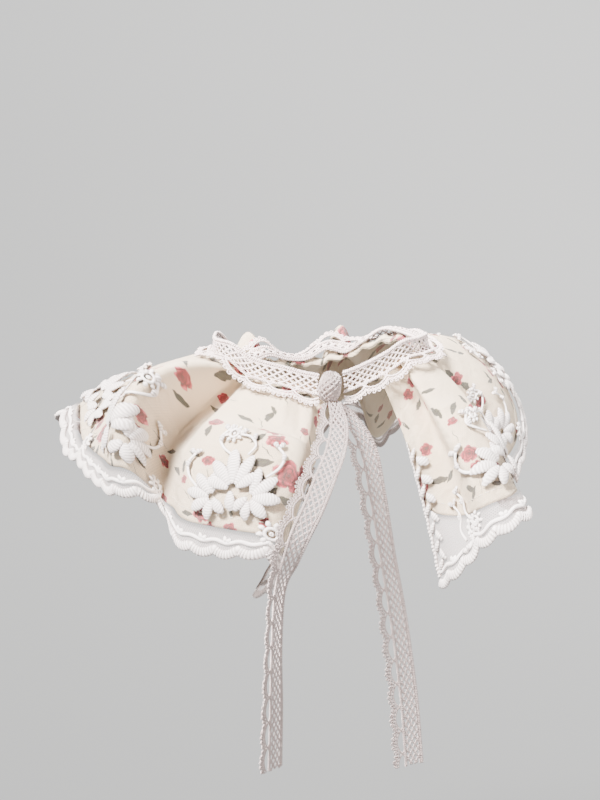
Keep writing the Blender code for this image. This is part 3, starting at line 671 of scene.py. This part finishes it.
def strand(surface, path, half, height, lift=0.0, sides=8, loop=False, ribs=(0, 1, 0)):
    """One raised line of stitching on a sheet: a tube along a path on the flat sheet, with half
    its width across, its height and its lift off the sheet. Each ring of the tube is a circle
    squashed to that width and height. The ribs are cosines along it: their depth, their pitch
    and their slant back towards the middle line. The painted shade of each point is 1 where a rib
    is lowest and where the tube meets the sheet: it is shade painted into the rib hollows and
    along the tube's foot."""
    path = np.asarray(path, float)
    count = len(path)
    ends = np.concatenate([path[-1:], path, path[:1]]) if loop else path
    way = unit(np.gradient(ends, axis=0)[1:-1] if loop else np.gradient(ends, axis=0))
    run = run_along(path)
    across = track(-way[:, 1], way[:, 0])
    turn = 2 * np.pi * np.arange(sides) / sides
    half, height, lift = (np.broadcast_to(v, count)[:, None] for v in (half, height, lift))
    depth, pitch, slant = ribs
    ridge = 1 + depth * np.cos(2 * np.pi * (run[:, None] + slant * half * np.abs(np.cos(turn))) / pitch)
    spread = half * np.cos(turn) * (0.5 + 0.5 * ridge)
    flat = path[:, None] + across[:, None] * spread[..., None]
    out = lift + height * (0.5 + 0.5 * np.sin(turn)) * ridge
    points = surface(flat[..., 0], flat[..., 1], out).reshape(-1, 3)
    # Painted shade: each point is darkened where a rib is lowest and along the tube's foot, where it meets
    # the sheet.
    painted_shade = (1 - ridge) / (2 * depth) + 0.5 if depth else np.zeros(out.shape)
    painted_shade = np.clip(0.7 * painted_shade + 0.8 * np.clip(0.4 - np.sin(turn), 0, 1), 0, 1).ravel()
    steps = count if loop else count - 1
    ring, side = ring_quads(steps, sides)
    faces = ring % count * sides + side % sides
    uv = np.stack([np.concatenate([run, [run[-1] + 1]])[ring], side / sides], -1)
    caps = [] if loop else [list(range(sides))[::-1], [steps * sides + s for s in range(sides)]]
    return points, faces, uv, caps, painted_shade


def stitch(name, strands, finish):
    """One object from many strands, with all its faces turned outwards."""
    start, points, faces, corners, caps, painted_shades = 0, [], [], [], [], []
    for strand_points, strand_faces, uv, strand_caps, painted_shade in strands:
        points.append(strand_points)
        painted_shades.append(painted_shade)
        faces.append(strand_faces + start)
        corners.append(uv)
        caps += [[corner + start for corner in cap] for cap in strand_caps]
        start += len(strand_points)
    made = make_mesh(name, np.concatenate(points), np.concatenate(faces), np.concatenate(corners), caps)
    # Each point's painted shade of the rib hollows and the tube's foot, which the material reads.
    add_mark(made, "painted_shade", np.concatenate(painted_shades))
    mesh = bmesh.new()
    mesh.from_mesh(made.data)
    bmesh.ops.recalc_face_normals(mesh, faces=mesh.faces)
    mesh.to_mesh(made.data)
    mesh.free()
    made.data.materials.append(finish.material)
    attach(made, "root")
    return made


satin = Finish("satin_thread", Roughness=0.55, Sheen_Weight=0.35, Sheen_Roughness=0.4)
satin_line = (satin.flat()[0] * 15).math("SINE") * 0.5
satin_patch = satin.noise(satin.place(), 160.0, 2.0)
satin_white = satin.mix(satin_patch, linear(248, 236, 232), linear(255, 248, 244))
# The satin's base colour is darkened towards brown-grey by the painted shade of its rib hollows and its
# foot.
satin.set("Base Color", satin.mix(satin.mark("painted_shade") * 0.85, satin_white, linear(104, 80, 72)))
satin.bump(satin_line + satin_patch * 0.6, 0.00008)

# The flounce's edge is worked in buttonhole stitch over a cord, with a thinner cord inside it
# that has small leaf nubs and joins the ring flowers at the notches.
EMBROIDERY_OUT = NET_OUT + NET_THICKNESS / 2


def on_lace(middle, depth):
    """The lace as a flat sheet in millimetres around one of its points. Its columns are as wide
    as they are at that depth, so that a motif keeps its shape."""
    here = cape(np.array([middle - 2.0, middle + 2.0]), np.array([depth, depth]), np.zeros(2))
    pitch = np.linalg.norm(here[1] - here[0]) / 4
    return lambda x, y, out: cape(middle + x / pitch, depth + y, out + EMBROIDERY_OUT)


def along_lace(x, y, out):
    """The lace as a strip with x in millimetres along its edge and y its depth."""
    return cape(x / COLUMN_WIDTH, y, out + EMBROIDERY_OUT)


def heading(degrees):
    """A step of one on the flat lace: 0 degrees is along it, and 90 is up towards the neck."""
    return np.array([np.cos(np.radians(degrees)), -np.sin(np.radians(degrees))])


# A stitched piece's ribs are given by their depth, their pitch and their slant.
PETAL_HEIGHT, PETAL_STEP, PETAL_RIBS = 1.7, 0.26, (0.1, 1.05, 0.4)
EDGE_RIBS, SIDE_RIBS, SIDE_INSET, SIDE_WAVE = (0.1, 1.25, 0), (0.2, 1.5, 0), 1.0, 0.35


def petal(surface, base, turn, length, width, lift=0.0, bend=0.0):
    """A padded satin-stitch petal: a tube along a bent line whose width and height rise and fall
    as a sine, ribbed by its slanting stitches."""
    t = np.linspace(0, 1, max(8, int(length / PETAL_STEP)))
    aim = heading(turn)
    left = np.array([aim[1], -aim[0]])
    path = np.array(base) + aim * (length * t)[:, None] + left * (bend * length * t * (1 - t))[:, None]
    full = np.sin(np.pi * (0.06 + 0.88 * t**1.15)) ** 0.7
    return strand(surface, path, width / 2 * full, PETAL_HEIGHT * full, lift, 10, ribs=PETAL_RIBS)


edge_x = np.arange(0.4, COLUMNS - 0.4, 1 / 12)
edge_path = track(edge_x * COLUMN_WIDTH, lace_edge(edge_x) - EDGE_INSET)
edge_strands = [strand(along_lace, edge_path, 1.85, 2.0, -0.5, 12, ribs=EDGE_RIBS)]
side_y = np.arange(LACE_TOP, LACE_DEPTH - 5, 0.3)
for side_x in (SIDE_INSET, LACE_LENGTH - SIDE_INSET):
    side_path = track(side_x + SIDE_WAVE * np.sin(side_y * 0.9), side_y)
    edge_strands.append(strand(along_lace, side_path, 1.05, 1.3, -0.35, 8, ribs=SIDE_RIBS))
edging = stitch("lace_edging", edge_strands, satin)

CORD_INSET, CORD_NOTCH, CORD_ROUNDNESS, CORD_WAVE = 6.8, 3.2, 0.5, 0.5


def cord_depth(x):
    """The inner cord's depth: it follows the lobes, with a slight wave in each scallop."""
    wave = CORD_WAVE * np.cos(2 * np.pi * x / SCALLOP_COLUMNS)
    return LACE_DEPTH - CORD_INSET - CORD_NOTCH * hollow(x, CORD_ROUNDNESS) - wave


NUBS = ((60, 3.0), (125, 2.4))
FRONT_LEAF, FRONT_LEAF_TURNS, FRONT_LEAF_COLUMN, FRONT_LEAF_STEP = (5.4, 2.4), (-40, 28), 2.4, 3.6
cord_x = np.arange(0.6, COLUMNS - 0.6, 1 / 5)
cord_path = track(cord_x * COLUMN_WIDTH, cord_depth(cord_x))
cord_strands = [strand(along_lace, cord_path, 0.8, 1.15, -0.15, 8)]
for x in np.arange(1.5, COLUMNS, SCALLOP_COLUMNS):
    if abs((x - FIRST_NOTCH) % LOBE_COLUMNS) in (1.5, LOBE_COLUMNS - 1.5):
        continue
    for turn, length in NUBS:
        t = np.linspace(0, 1, 7)
        nub = np.array([x * COLUMN_WIDTH, cord_depth(x)]) + heading(turn) * length * t[:, None]
        full = np.sin(np.pi * (0.12 + 0.76 * t))
        cord_strands.append(strand(along_lace, nub, 0.95 * full, 1.15 * full, 0.0, 7))
for middle, side in ((FRONT_LEAF_COLUMN, 1), (COLUMNS - FRONT_LEAF_COLUMN, -1)):
    for number, depth in enumerate(np.arange(LACE_TOP + 4, LACE_DEPTH - 8, FRONT_LEAF_STEP)):
        turn, lift = 270 + FRONT_LEAF_TURNS[number % 2] * side, 0.2 * (number % 2)
        cord_strands.append(petal(on_lace(middle, depth), (0, 0), turn, *FRONT_LEAF, lift))
cording = stitch("lace_cording", cord_strands, satin)


def ring_flower(surface, x, y, size=1.0, nubs=9):
    """A ring flower: a ring round an open eye, a dot in the eye, and small petals round it."""
    turn = 2 * np.pi * np.arange(22) / 22
    made = []
    for radius, half, height in ((2.05, 0.62, 1.15), (0.42, 0.42, 0.8)):
        path = track(x + radius * size * np.cos(turn), y + radius * size * np.sin(turn))
        made.append(strand(surface, path, half * size, height, 0.0, 6, True))
    for k in range(nubs):
        aim = np.array([np.cos(2 * np.pi * k / nubs + 0.3), np.sin(2 * np.pi * k / nubs + 0.3)])
        t = np.linspace(0, 1, 6)
        path = np.array([x, y]) + aim * (2.5 + 2.1 * t[:, None]) * size
        full = np.sin(np.pi * (0.16 + 0.7 * t))
        made.append(strand(surface, path, 0.92 * size * full, 1.1 * full, 0.0, 6))
    return made


NOTCH_FLOWER_DEPTH = LACE_DEPTH - NOTCH - SCALLOP - 7.6
sprig_strands = []
for notch in range(FIRST_NOTCH, COLUMNS, LOBE_COLUMNS):
    sprig_strands += ring_flower(on_lace(notch, NOTCH_FLOWER_DEPTH), 0, 0)

# Each lobe of the flounce has one large flower spray: three flowerlets of padded petals that
# overlap, and above it a small ring flower on curled tendrils. Each petal's row holds its base,
# its turn, its length and width, and its lift over the petals below. A tendril's row holds its
# points, and every other spray is mirrored. The right front corner has a sprig of its own.
PETAL_ROWS = (
    (-7.6, 1.6, 100, 10.0, 4.6, 0.0), (-8.4, 2.0, 142, 10.6, 4.8, 0.3), (-8.6, 3.0, 182, 10.6, 4.8, 0.5),
    (-8.0, 3.8, 222, 9.2, 4.6, 0.3), (-6.8, 4.2, 266, 7.2, 4.2, 0.6), (-6.6, 3.0, 316, 6.8, 4.2, 0.9),
    (-1.2, -1.2, 150, 9.4, 4.6, 0.6), (-0.8, -2.0, 116, 12.2, 5.0, 0.8), (0.6, -2.4, 84, 13.2, 5.2, 1.0),
    (1.8, -1.8, 50, 11.6, 5.0, 0.7), (2.2, -0.6, 18, 9.4, 4.6, 0.5), (0.6, 0.6, 258, 7.4, 4.4, 1.2),
    (8.8, 1.4, 96, 8.4, 4.4, 0.2), (9.6, 1.8, 52, 9.4, 4.6, 0.4), (10.0, 2.8, 10, 9.4, 4.6, 0.2),
    (9.4, 3.8, 328, 8.4, 4.4, 0.5), (8.2, 4.2, 282, 7.4, 4.2, 0.7), (7.4, 3.6, 226, 7.0, 4.2, 1.0),
)
TENDRIL_ROWS = (
    ((-2, -14), (-4, -18), (-1, -21.5), (4, -22.5)), ((4, -13), (9, -16), (12, -20), (10, -24)),
    ((-12, -6), (-16, -10), (-17, -15), (-14, -18)), ((15, 1), (20, -3), (22, -8), (20, -12)),
)
CORNER_TENDRIL_ROWS = (
    ((-5, -1), (-2, -5), (-3, -10), (0, -14)), ((3, 4), (5, -1), (3, -6), (6, -11)),
    ((-8, 4), (-4, 7), (1, 6), (4, 8)),
)
TENDRIL_FLOWER, CORNER_FLOWER = (7, -22.5, 0.85), (-7.5, 1.5, 0.8)
TENDRIL_LEAVES = ((11, 0), (21, -50), (21, 50))
SPRAY_COLUMNS = (17, 36, 57, 76, 94, 112, 130, 147, 163, 180, 200)
SPRAY_DEPTH = 61.0
SPRAY_TURNS = (-6, 4, -8, 10, 0, -4, 8, -10, 5, -5, 9)


def curl(surface, points, mirror):
    """A corded tendril through a few points, with a leaf nub at its end and another half way."""
    x, y = curves(points, np.linspace(0, len(points) - 1, 22))
    path = track(mirror * x, y)
    made = [strand(surface, path, 0.55, 0.85, 0.0, 6)]
    for k, turn in TENDRIL_LEAVES:
        made.append(petal(surface, path[k], 90 + mirror * turn, 3.2, 2.0))
    return made


for number, (middle, turn) in enumerate(zip(SPRAY_COLUMNS, SPRAY_TURNS), 1):
    surface = on_lace(middle, SPRAY_DEPTH)
    mirror = 1 if number % 2 else -1
    swing = np.radians(turn)
    strands = []
    for x, y, aim, length, width, lift in PETAL_ROWS:
        x, aim = mirror * x, aim if mirror > 0 else 180 - aim
        base = (x * np.cos(swing) + y * np.sin(swing), y * np.cos(swing) - x * np.sin(swing))
        strands.append(petal(surface, base, aim + turn, length, width, lift, 0.12 * mirror))
    spray = stitch(f"flower_spray_{number:02d}", strands, satin)
    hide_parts(f"spray_{number:02d}")
    for points in TENDRIL_ROWS:
        sprig_strands += curl(surface, points, mirror)
    x, y, size = TENDRIL_FLOWER
    sprig_strands += ring_flower(surface, mirror * x, y, size, 8)
corner = on_lace(COLUMNS - 8, LACE_DEPTH - 15)
sprig_strands += ring_flower(corner, *CORNER_FLOWER, 8)
for points in CORNER_TENDRIL_ROWS:
    sprig_strands += curl(corner, points, 1)
sprigs = stitch("lace_sprigs", sprig_strands, satin)

# The hem and the front edges are sewn with a running stitch in cream thread.
sewing = Finish("sewing_thread", Roughness=0.6)
sewing_patch = sewing.noise(sewing.place(), 300.0)
sewing.set("Base Color", sewing.mix(sewing_patch, linear(222, 204, 184), linear(240, 226, 208)))
STITCH, STITCH_STEP, STITCH_INSET, STITCH_SHAPE = 1.9, 3.0, 4.6, (0.2, 0.3, -0.08, 6)
dashes = []


def cloth_face(x, y, out):
    """The cotton's right side, with x in millimetres along the hem."""
    place = x / COLUMN_WIDTH
    return cape(place, y, gather(place, y) + CLOTH_THICKNESS / 2 + out)


for x in (STITCH_INSET, LACE_LENGTH - STITCH_INSET):
    for y in np.arange(4, hem_depth(x / COLUMN_WIDTH) - STITCH_INSET, STITCH_STEP):
        path = track(x, y + STITCH * np.linspace(0, 1, 5))
        dashes.append(strand(cloth_face, path, *STITCH_SHAPE))
for x in np.arange(STITCH_INSET, LACE_LENGTH - STITCH_INSET, STITCH_STEP):
    dash = x + STITCH * np.linspace(0, 1, 5)
    path = track(dash, hem_depth(dash / COLUMN_WIDTH) - STITCH_INSET)
    dashes.append(strand(cloth_face, path, *STITCH_SHAPE))
hem_stitching = stitch("hem_stitching", dashes, sewing)

# The cotton lace tape round the neck. It is crocheted: a braided straight edge, a net of small
# diamonds, a firm line, and scallops that each have a long eye and a row of picots. It stands
# above the neck seam and is turned down over the cape. Each row is a place along its bend: the
# azimuth, the bend's radius and height, a lower point of the turned side, and how high the tape
# stands above the bend.
TAPE_REPEAT, TAPE_BEND, TAPE_LEAN, TAPE_WIDTH = 10.0, 6.5, 0.12, 14.0
TAPE_STEP, TAPE_PLACES, TAPE_EASE, ROLL, ROLL_EASE = 0.5, 800, 4, 1.6, 0.6
TAPE_ROWS = (
    (-0.4, 47.2, -7.9, 49.8, -12.9, 6.5),
    (-9, 45.4, -6.9, 50.0, -11.6, 6.5),
    (-18, 45.4, -5.2, 50.6, -9.4, 6.5),
    (-29, 45.6, -3.6, 51.2, -8.2, 6.5),
    (-38, 46.4, -1.8, 52.6, -5.4, 6.5),
    (-47, 49.2, 3.2, 56.4, 3.2, 6.5),
    (-58, 49.4, 4.1, 56.8, 4.1, 6.5),
    (-70, 46.9, 4.0, 54.3, 2.3, 6.5),
    (-84, 44.9, 3.7, 52.4, 1.6, 6.5),
    (-100, 44.7, 4.0, 52.4, 2.4, 6.2),
    (-114, 44.5, 0.6, 52.2, -0.6, 4.4),
    (-126, 44.5, -3.6, 52.4, -1.0, 3),
    (-138, 44.5, -5.2, 52.2, -3.4, 3),
    (-150, 44.5, -4.0, 52.0, 3.2, 3.2),
    (-162, 44.5, -5.8, 52.2, -4.4, 3),
    (-174, 44.5, -5.8, 52.2, -4.4, 3),
    (-186, 44.5, -2.0, 51.8, 5.0, 3.4),
    (-198, 44.5, -2.4, 52.2, 1.8, 3),
    (-210, 44.5, 2.3, 52.2, 3.4, 3.4),
    (-222, 44.5, 5.5, 52.2, 5.4, 4.5),
    (-234, 44.5, 7.3, 52.2, 8.2, 3.8),
    (-246, 44.5, 7.0, 52.2, 6.4, 3.6),
    (-258, 44.4, 6.6, 52.2, 5.0, 3.6),
    (-270, 44.6, 5.9, 52.0, 2.2, 4),
    (-282, 46.2, 5.6, 53.6, 2.2, 5),
    (-292, 49.2, 6.2, 56.6, 2.6, 6),
    (-304, 49.2, 5.2, 56.6, 1.6, 6.5),
    (-314, 48.6, 4.6, 55.4, 0.8, 6.5),
    (-322, 46.6, 0.8, 52.6, -5.4, 6.5),
    (-332, 45.6, -2.8, 50.8, -8.8, 6.5),
    (-341, 45.8, -5.4, 50.2, -11.4, 6.5),
    (-348, 46.8, -7.0, 49.8, -12.6, 6.5),
)

crochet = Finish("cotton_tape", Roughness=0.85, Sheen_Weight=0.3, Sheen_Roughness=0.5)
crochet_flat = crochet.flat()
crochet_ply = (crochet_flat[0] * 6.5 + crochet_flat[1] * 12.566).math("SINE") * 0.5
crochet_patch = crochet.noise(crochet.place(), 220.0, 2.0)
crochet_white = crochet.mix(crochet_patch, linear(226, 200, 195), linear(253, 238, 233))
# The tape's base colour is darkened by the painted shade of its rib hollows and its threads' feet.
crochet.set("Base Color", crochet.mix(crochet.mark("painted_shade") * 0.9, crochet_white, linear(72, 56, 52)))
crochet.bump(crochet_ply + crochet_patch * 0.8, 0.00012)


def steps_along(line, step):
    """Fractional row numbers at even steps along a line of points, and the places they are at."""
    run = run_along(line)
    places = np.linspace(0, run[-1], int(run[-1] / step) + 1)
    return np.interp(places, run, np.arange(len(line))), places


def tape_sheet(line, spread):
    """The tape as a sheet half a millimetre fine. Each row across it is eased, which rounds the
    bend where it turns over."""
    at, along = steps_along(line, TAPE_STEP)
    across = np.arange(-TAPE_STEP, TAPE_WIDTH + 1, TAPE_STEP)
    grid = np.stack([spread(at, np.full(len(at), w)) for w in across])
    for _ in range(TAPE_EASE):
        grid[1:-1] = (grid[:-2] + 2 * grid[1:-1] + grid[2:]) / 4
    return Sheet(grid, along, across), along[-1]


def zigzag(surface, length, low, high, radius):
    """Two rows of threads that lean opposite ways from one line of the tape to another and back,
    woven over and under each other where they cross."""
    made = []
    rise = high - low
    t = np.linspace(0, 1, 15)
    crossing = np.cos(2 * np.pi * (2 * t * rise * MESH_LEAN / MESH_STEP + MESH_PHASE))
    for k in range(-2, int(length / MESH_STEP) + 1):
        for way in (1, -1):
            s = k * MESH_STEP + t * MESH_LEAN * rise
            w = low + rise * t if way > 0 else high - rise * t
            keep = (s > -0.3) & (s < length + 0.3)
            if keep.sum() < 3:
                continue
            path = track(s, w)[keep]
            made.append(strand(surface, path, radius, radius, 0.2 * way * crossing[keep], 6))
    return made


def arch(s, ends, middle):
    """How far across the tape a line runs: it bows out over each eye as a sine."""
    return ends + (middle - ends) * np.abs(np.sin(np.pi * s / TAPE_REPEAT)) ** 0.8


# The long threads of the tape. Each row is how far across one runs at an eye's ends and at its
# middle, its half width, its lift, its wave, and the wave's pitch and phase. A leg's points are
# along and across the tape, and a pair of crossed legs parts the eyes. The picots are loops
# outside the last row. A tail's tape is narrower by an inset beyond the braid at its edge.
MESH_LEAN, MESH_STEP, MESH_PHASE, MESH_LOW, MESH_HIGH = 1.5, 3.6, 0.25, 1.5, 8.4
THREAD, TAIL_THREAD, TAIL_INSET, BRAID_WIDTH = 0.39, 0.47, 0.6, 2.0
LINE_ROWS = (
    (0.7, 0.7, 0.37, 0, 0.4, 2.0, 0), (0.7, 0.7, 0.37, 0, 0.4, 2.0, np.pi),
    (1.7, 1.7, 0.3, 0, 0, 1.6, 0), (8.6, 8.6, 0.36, 0, 0.34, 1.8, 0),
    (8.6, 8.6, 0.36, 0, 0.34, 1.8, np.pi), (10.0, 12.0, 0.37, 0.1, 0, 1.6, 0),
    (11.3, 12.9, 0.36, 0, 0.2, 1.5, 0), (11.9, 13.6, 0.37, 0.1, 0.2, 1.5, 1.5),
)
LEG_ROWS = ((-1.6, 8.6), (0, 9.8), (1.4, 11.2))
PICOTS, PICOT_FOOT, PICOT_REACH, PICOT_WIDTH, PICOT_HEIGHT = 5, 12.45, 14.15, 0.55, 0.62


def crochet_tape(surface, length, thread, inset=0.0):
    """The whole tape's threads, with the half width of those in its mesh."""
    made = zigzag(surface, length, MESH_LOW, MESH_HIGH - inset, thread)
    s = np.arange(-0.2, length + 0.2, 0.3)
    for ends, middle, half, lift, wave, pitch, phase in LINE_ROWS:
        turn = 2 * np.pi * s / pitch + phase
        across = arch(s, ends, middle) - inset * (ends > BRAID_WIDTH) + wave * np.sin(turn)
        made.append(strand(surface, track(s, across), half, 1.9 * half, lift + wave * np.cos(turn), 6))
    leg_along, leg_across = curves(LEG_ROWS, np.linspace(0, 2, 9))
    picot_turn = np.linspace(0.15, 1.85, 10) * np.pi
    for middle in TAPE_REPEAT * np.arange(int(round(length / TAPE_REPEAT)) + 1):
        for lean in (-1, 1):
            path = track(middle + lean * leg_along, leg_across - inset)
            if path[:, 0].min() > -0.5 and path[:, 0].max() < length + 0.5:
                made.append(strand(surface, path, 0.36, 0.7, 0.1, 6))
        for s in middle + TAPE_REPEAT * (np.arange(PICOTS) + 0.5) / PICOTS:
            if s <= length - 0.5:
                foot = arch(s, PICOT_FOOT, PICOT_REACH) - inset
                path = track(
                    s - PICOT_WIDTH * np.sin(picot_turn), foot - PICOT_HEIGHT * np.cos(picot_turn)
                )
                made.append(strand(surface, path, 0.26, 0.55, 0.0, 5))
    return made


tape_at = np.linspace(0, len(TAPE_ROWS) - 1, TAPE_PLACES)
tape_turn, tape_radius, tape_height, low_radius, low_height, tape_stand = curves(TAPE_ROWS, tape_at)
bend_line = cylindrical(tape_turn, tape_radius, tape_height)
fall_line = unit(cylindrical(tape_turn, low_radius, low_height) - bend_line)
stand_line = cylindrical(tape_turn, np.full(TAPE_PLACES, -TAPE_LEAN), np.ones(TAPE_PLACES))


def at_rows(at, *lines):
    """Several lines of points read at fractional row numbers."""
    k = np.arange(len(lines[0]))
    return [np.stack([np.interp(at, k, line[:, i]) for i in range(3)], -1) for line in lines]


def neck_spread(at, width):
    """Places across the neck tape: the part before the bend stands up, and where it stands low
    its edge is rolled in and hangs down inside; the rest falls."""
    base, fall, rise = at_rows(at, bend_line, fall_line, stand_line)
    stand = np.interp(at, np.arange(len(tape_stand)), tape_stand)
    height = TAPE_BEND - width
    rolled = np.clip(height - stand, 0, None)
    folded = -outwards(base) * (ROLL * (1 - np.exp(-rolled / ROLL_EASE)))[:, None]
    standing = rise * (np.clip(height, 0, stand) - rolled)[:, None]
    falling = fall * (np.clip(width - stand, 0, None) * (width > TAPE_BEND))[:, None]
    return base + falling + standing + folded


neck_surface, neck_length = tape_sheet(bend_line, neck_spread)
neck_strands = crochet_tape(neck_surface, neck_length, THREAD)

# At the back the tape's rolled edge shows as a cord along the bend.
ROLL_START, ROLL_END, ROLL_RIBS = 0.38, 0.66, (0.14, 1.7, 0.6)
roll_run = np.arange(ROLL_START, ROLL_END, 0.0014) * neck_length
roll_full = np.sin(np.pi * np.linspace(0.02, 0.98, len(roll_run))) ** 0.3
roll_path = track(roll_run, TAPE_BEND + 0.5 * np.sin(roll_run / 3.1))
neck_strands.append(
    strand(neck_surface, roll_path, 0.7 * roll_full, 1.2 * roll_full, -0.4, 7, ribs=ROLL_RIBS)
)
neck_tape = stitch("neck_tape", neck_strands, crochet)
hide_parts("neck_lace")
neck_flat = (neck_length * 0.001, TAPE_WIDTH * 0.001)

# The two tails are the same tape, cut across at their ends. They gather into the knot and turn
# edge-on as they hang. Each row is the middle line, the turn of the scalloped side from
# straight left towards the front, and how much of the tape's width is spread.
TAIL_MIDDLE, TAIL_PLACES = 6.4, 400
TAIL_TABLES = {
    "tie_left": (
        (4.9, 52.9, -12.3, 5, 0.6), (6.0, 60.8, -19.5, 5, 0.85), (4.2, 72, -27.5, 5, 0.97),
        (0.2, 82.5, -36, 5, 1), (-4.4, 91, -46, 8, 1), (-9.2, 95, -56, 15, 1),
        (-12.8, 95.5, -67, 35, 1), (-16.0, 95, -79, 60, 1), (-17.4, 93, -102, 62, 1),
        (-17.8, 93, -126, 55, 1), (-18.4, 93, -150, 52, 1),
    ),
    "tie_right": (
        (5.6, 50.0, -13.2, 15, 0.42), (11.4, 51.5, -19.5, 20, 0.7), (18.2, 53, -31.6, 25, 0.9),
        (22.4, 54, -52, 32, 0.95), (26.6, 54, -76.6, 38, 1), (30.8, 54, -101.4, 32, 1),
        (35.2, 54, -135, 26, 1), (37.5, 54, -162.6, 22, 1),
    ),
}


def tail_surface(table):
    """A tail as a sheet: its middle line with the tape's width spread to the turned side."""
    at = np.linspace(0, len(table) - 1, TAIL_PLACES)
    x, forward, z, turn, spread = curves(table, at)
    line = np.stack([x, -forward, z], -1)
    turn = np.radians(turn)
    aside = np.stack([-np.cos(turn), -np.sin(turn), np.zeros_like(turn)], -1)
    way = unit(np.gradient(line, axis=0))
    aside = unit(aside - (aside * way).sum(1)[:, None] * way) * spread[:, None]

    def tail_spread(at, width):
        base, side = at_rows(at, line, aside)
        return base + side * (width - TAIL_MIDDLE)[:, None]

    return tape_sheet(line, tail_spread)


for name, table in TAIL_TABLES.items():
    surface, length = tail_surface(table)
    tail = stitch(f"{name}_tape", crochet_tape(surface, length, TAIL_THREAD, TAIL_INSET), crochet)
    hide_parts(name)
    length * 0.001

# The knot is the tape turned over itself and pulled tight: a firm lump with the tape's threads
# wound round it and one turn of the tape across its front. Its surface is a swollen ellipsoid
# that goes round twice, as a sheet as long as it is round and as wide as it is tall.
KNOT_MIDDLE, KNOT_SIZE, KNOT_LEAN = (4.2, -50.6, -6.2), (5.0, 4.2, 6.4), np.radians(12.0)
KNOT_ROUND, KNOT_TALL, KNOT_FILL, CORE_FILL = 29.0, 16.0, 0.94, 0.9
WINDINGS, WINDING_RUN, WINDING_INSET, WINDING_CROSSINGS = 13, 13, 0.9, 6
WRAPS, WRAP_STEP, WRAP_FALL, WRAP_LIFT, WRAP_RIBS = 5, 1.7, 5.2, 1.1, (0.1, 1.6, 1)
knot_turns, knot_polar = np.linspace(0, 4 * np.pi, 161), np.linspace(0.04, np.pi - 0.04, 41)
turn, polar = np.meshgrid(knot_turns, knot_polar)
swell = (1 + 0.1 * np.cos(2 * turn + 2.4 * polar) * np.sin(polar)) * KNOT_FILL
x = KNOT_SIZE[0] * swell * np.sin(polar) ** 0.8 * np.cos(turn)
y = KNOT_SIZE[1] * swell * np.sin(polar) ** 0.8 * np.sin(turn)
z = KNOT_SIZE[2] * KNOT_FILL * np.cos(polar)
x, z = x * np.cos(KNOT_LEAN) + z * np.sin(KNOT_LEAN), z * np.cos(KNOT_LEAN) - x * np.sin(KNOT_LEAN)
knot_grid = np.stack([x, y, z], -1) + KNOT_MIDDLE
knot_surface = Sheet(knot_grid, knot_turns / (2 * np.pi) * KNOT_ROUND, knot_polar / np.pi * KNOT_TALL)
knot_strands = []
t = np.linspace(0, 1, 24)
for k in range(WINDINGS):
    for way in (1, -1):
        s = k / WINDINGS * KNOT_ROUND + (t if way > 0 else 1 - t) * WINDING_RUN
        path = track(s, WINDING_INSET + t * (KNOT_TALL - 2 * WINDING_INSET))
        lift = 0.22 * way * np.cos(2 * np.pi * t * WINDING_CROSSINGS) - 0.2
        knot_strands.append(strand(knot_surface, path, 0.4, 0.8, lift, 6))
t = np.linspace(0, 1, 30)
for k in range(WRAPS):
    path = track(KNOT_ROUND * (1.5 + 0.5 * t), 1.6 + WRAP_STEP * k + WRAP_FALL * t)
    lift = WRAP_LIFT * np.sin(np.pi * t) ** 0.5 - 0.3
    knot_strands.append(strand(knot_surface, path, 0.85, 1.3, lift, 8, ribs=WRAP_RIBS))


def core_surface(x, z, out):
    """The inside of the knot, in shares of its half size."""
    return np.stack(np.broadcast_arrays(x, out, z), -1) * np.array(KNOT_SIZE) * CORE_FILL + KNOT_MIDDLE


core_rise = np.linspace(-1, 1, 21)
core_full = np.sqrt(1 - core_rise**2 * 0.99)
knot_strands.append(strand(core_surface, track(0, core_rise), core_full, 2 * core_full, -core_full, 18))
knot = stitch("neck_knot", knot_strands, crochet)
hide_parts("knot")
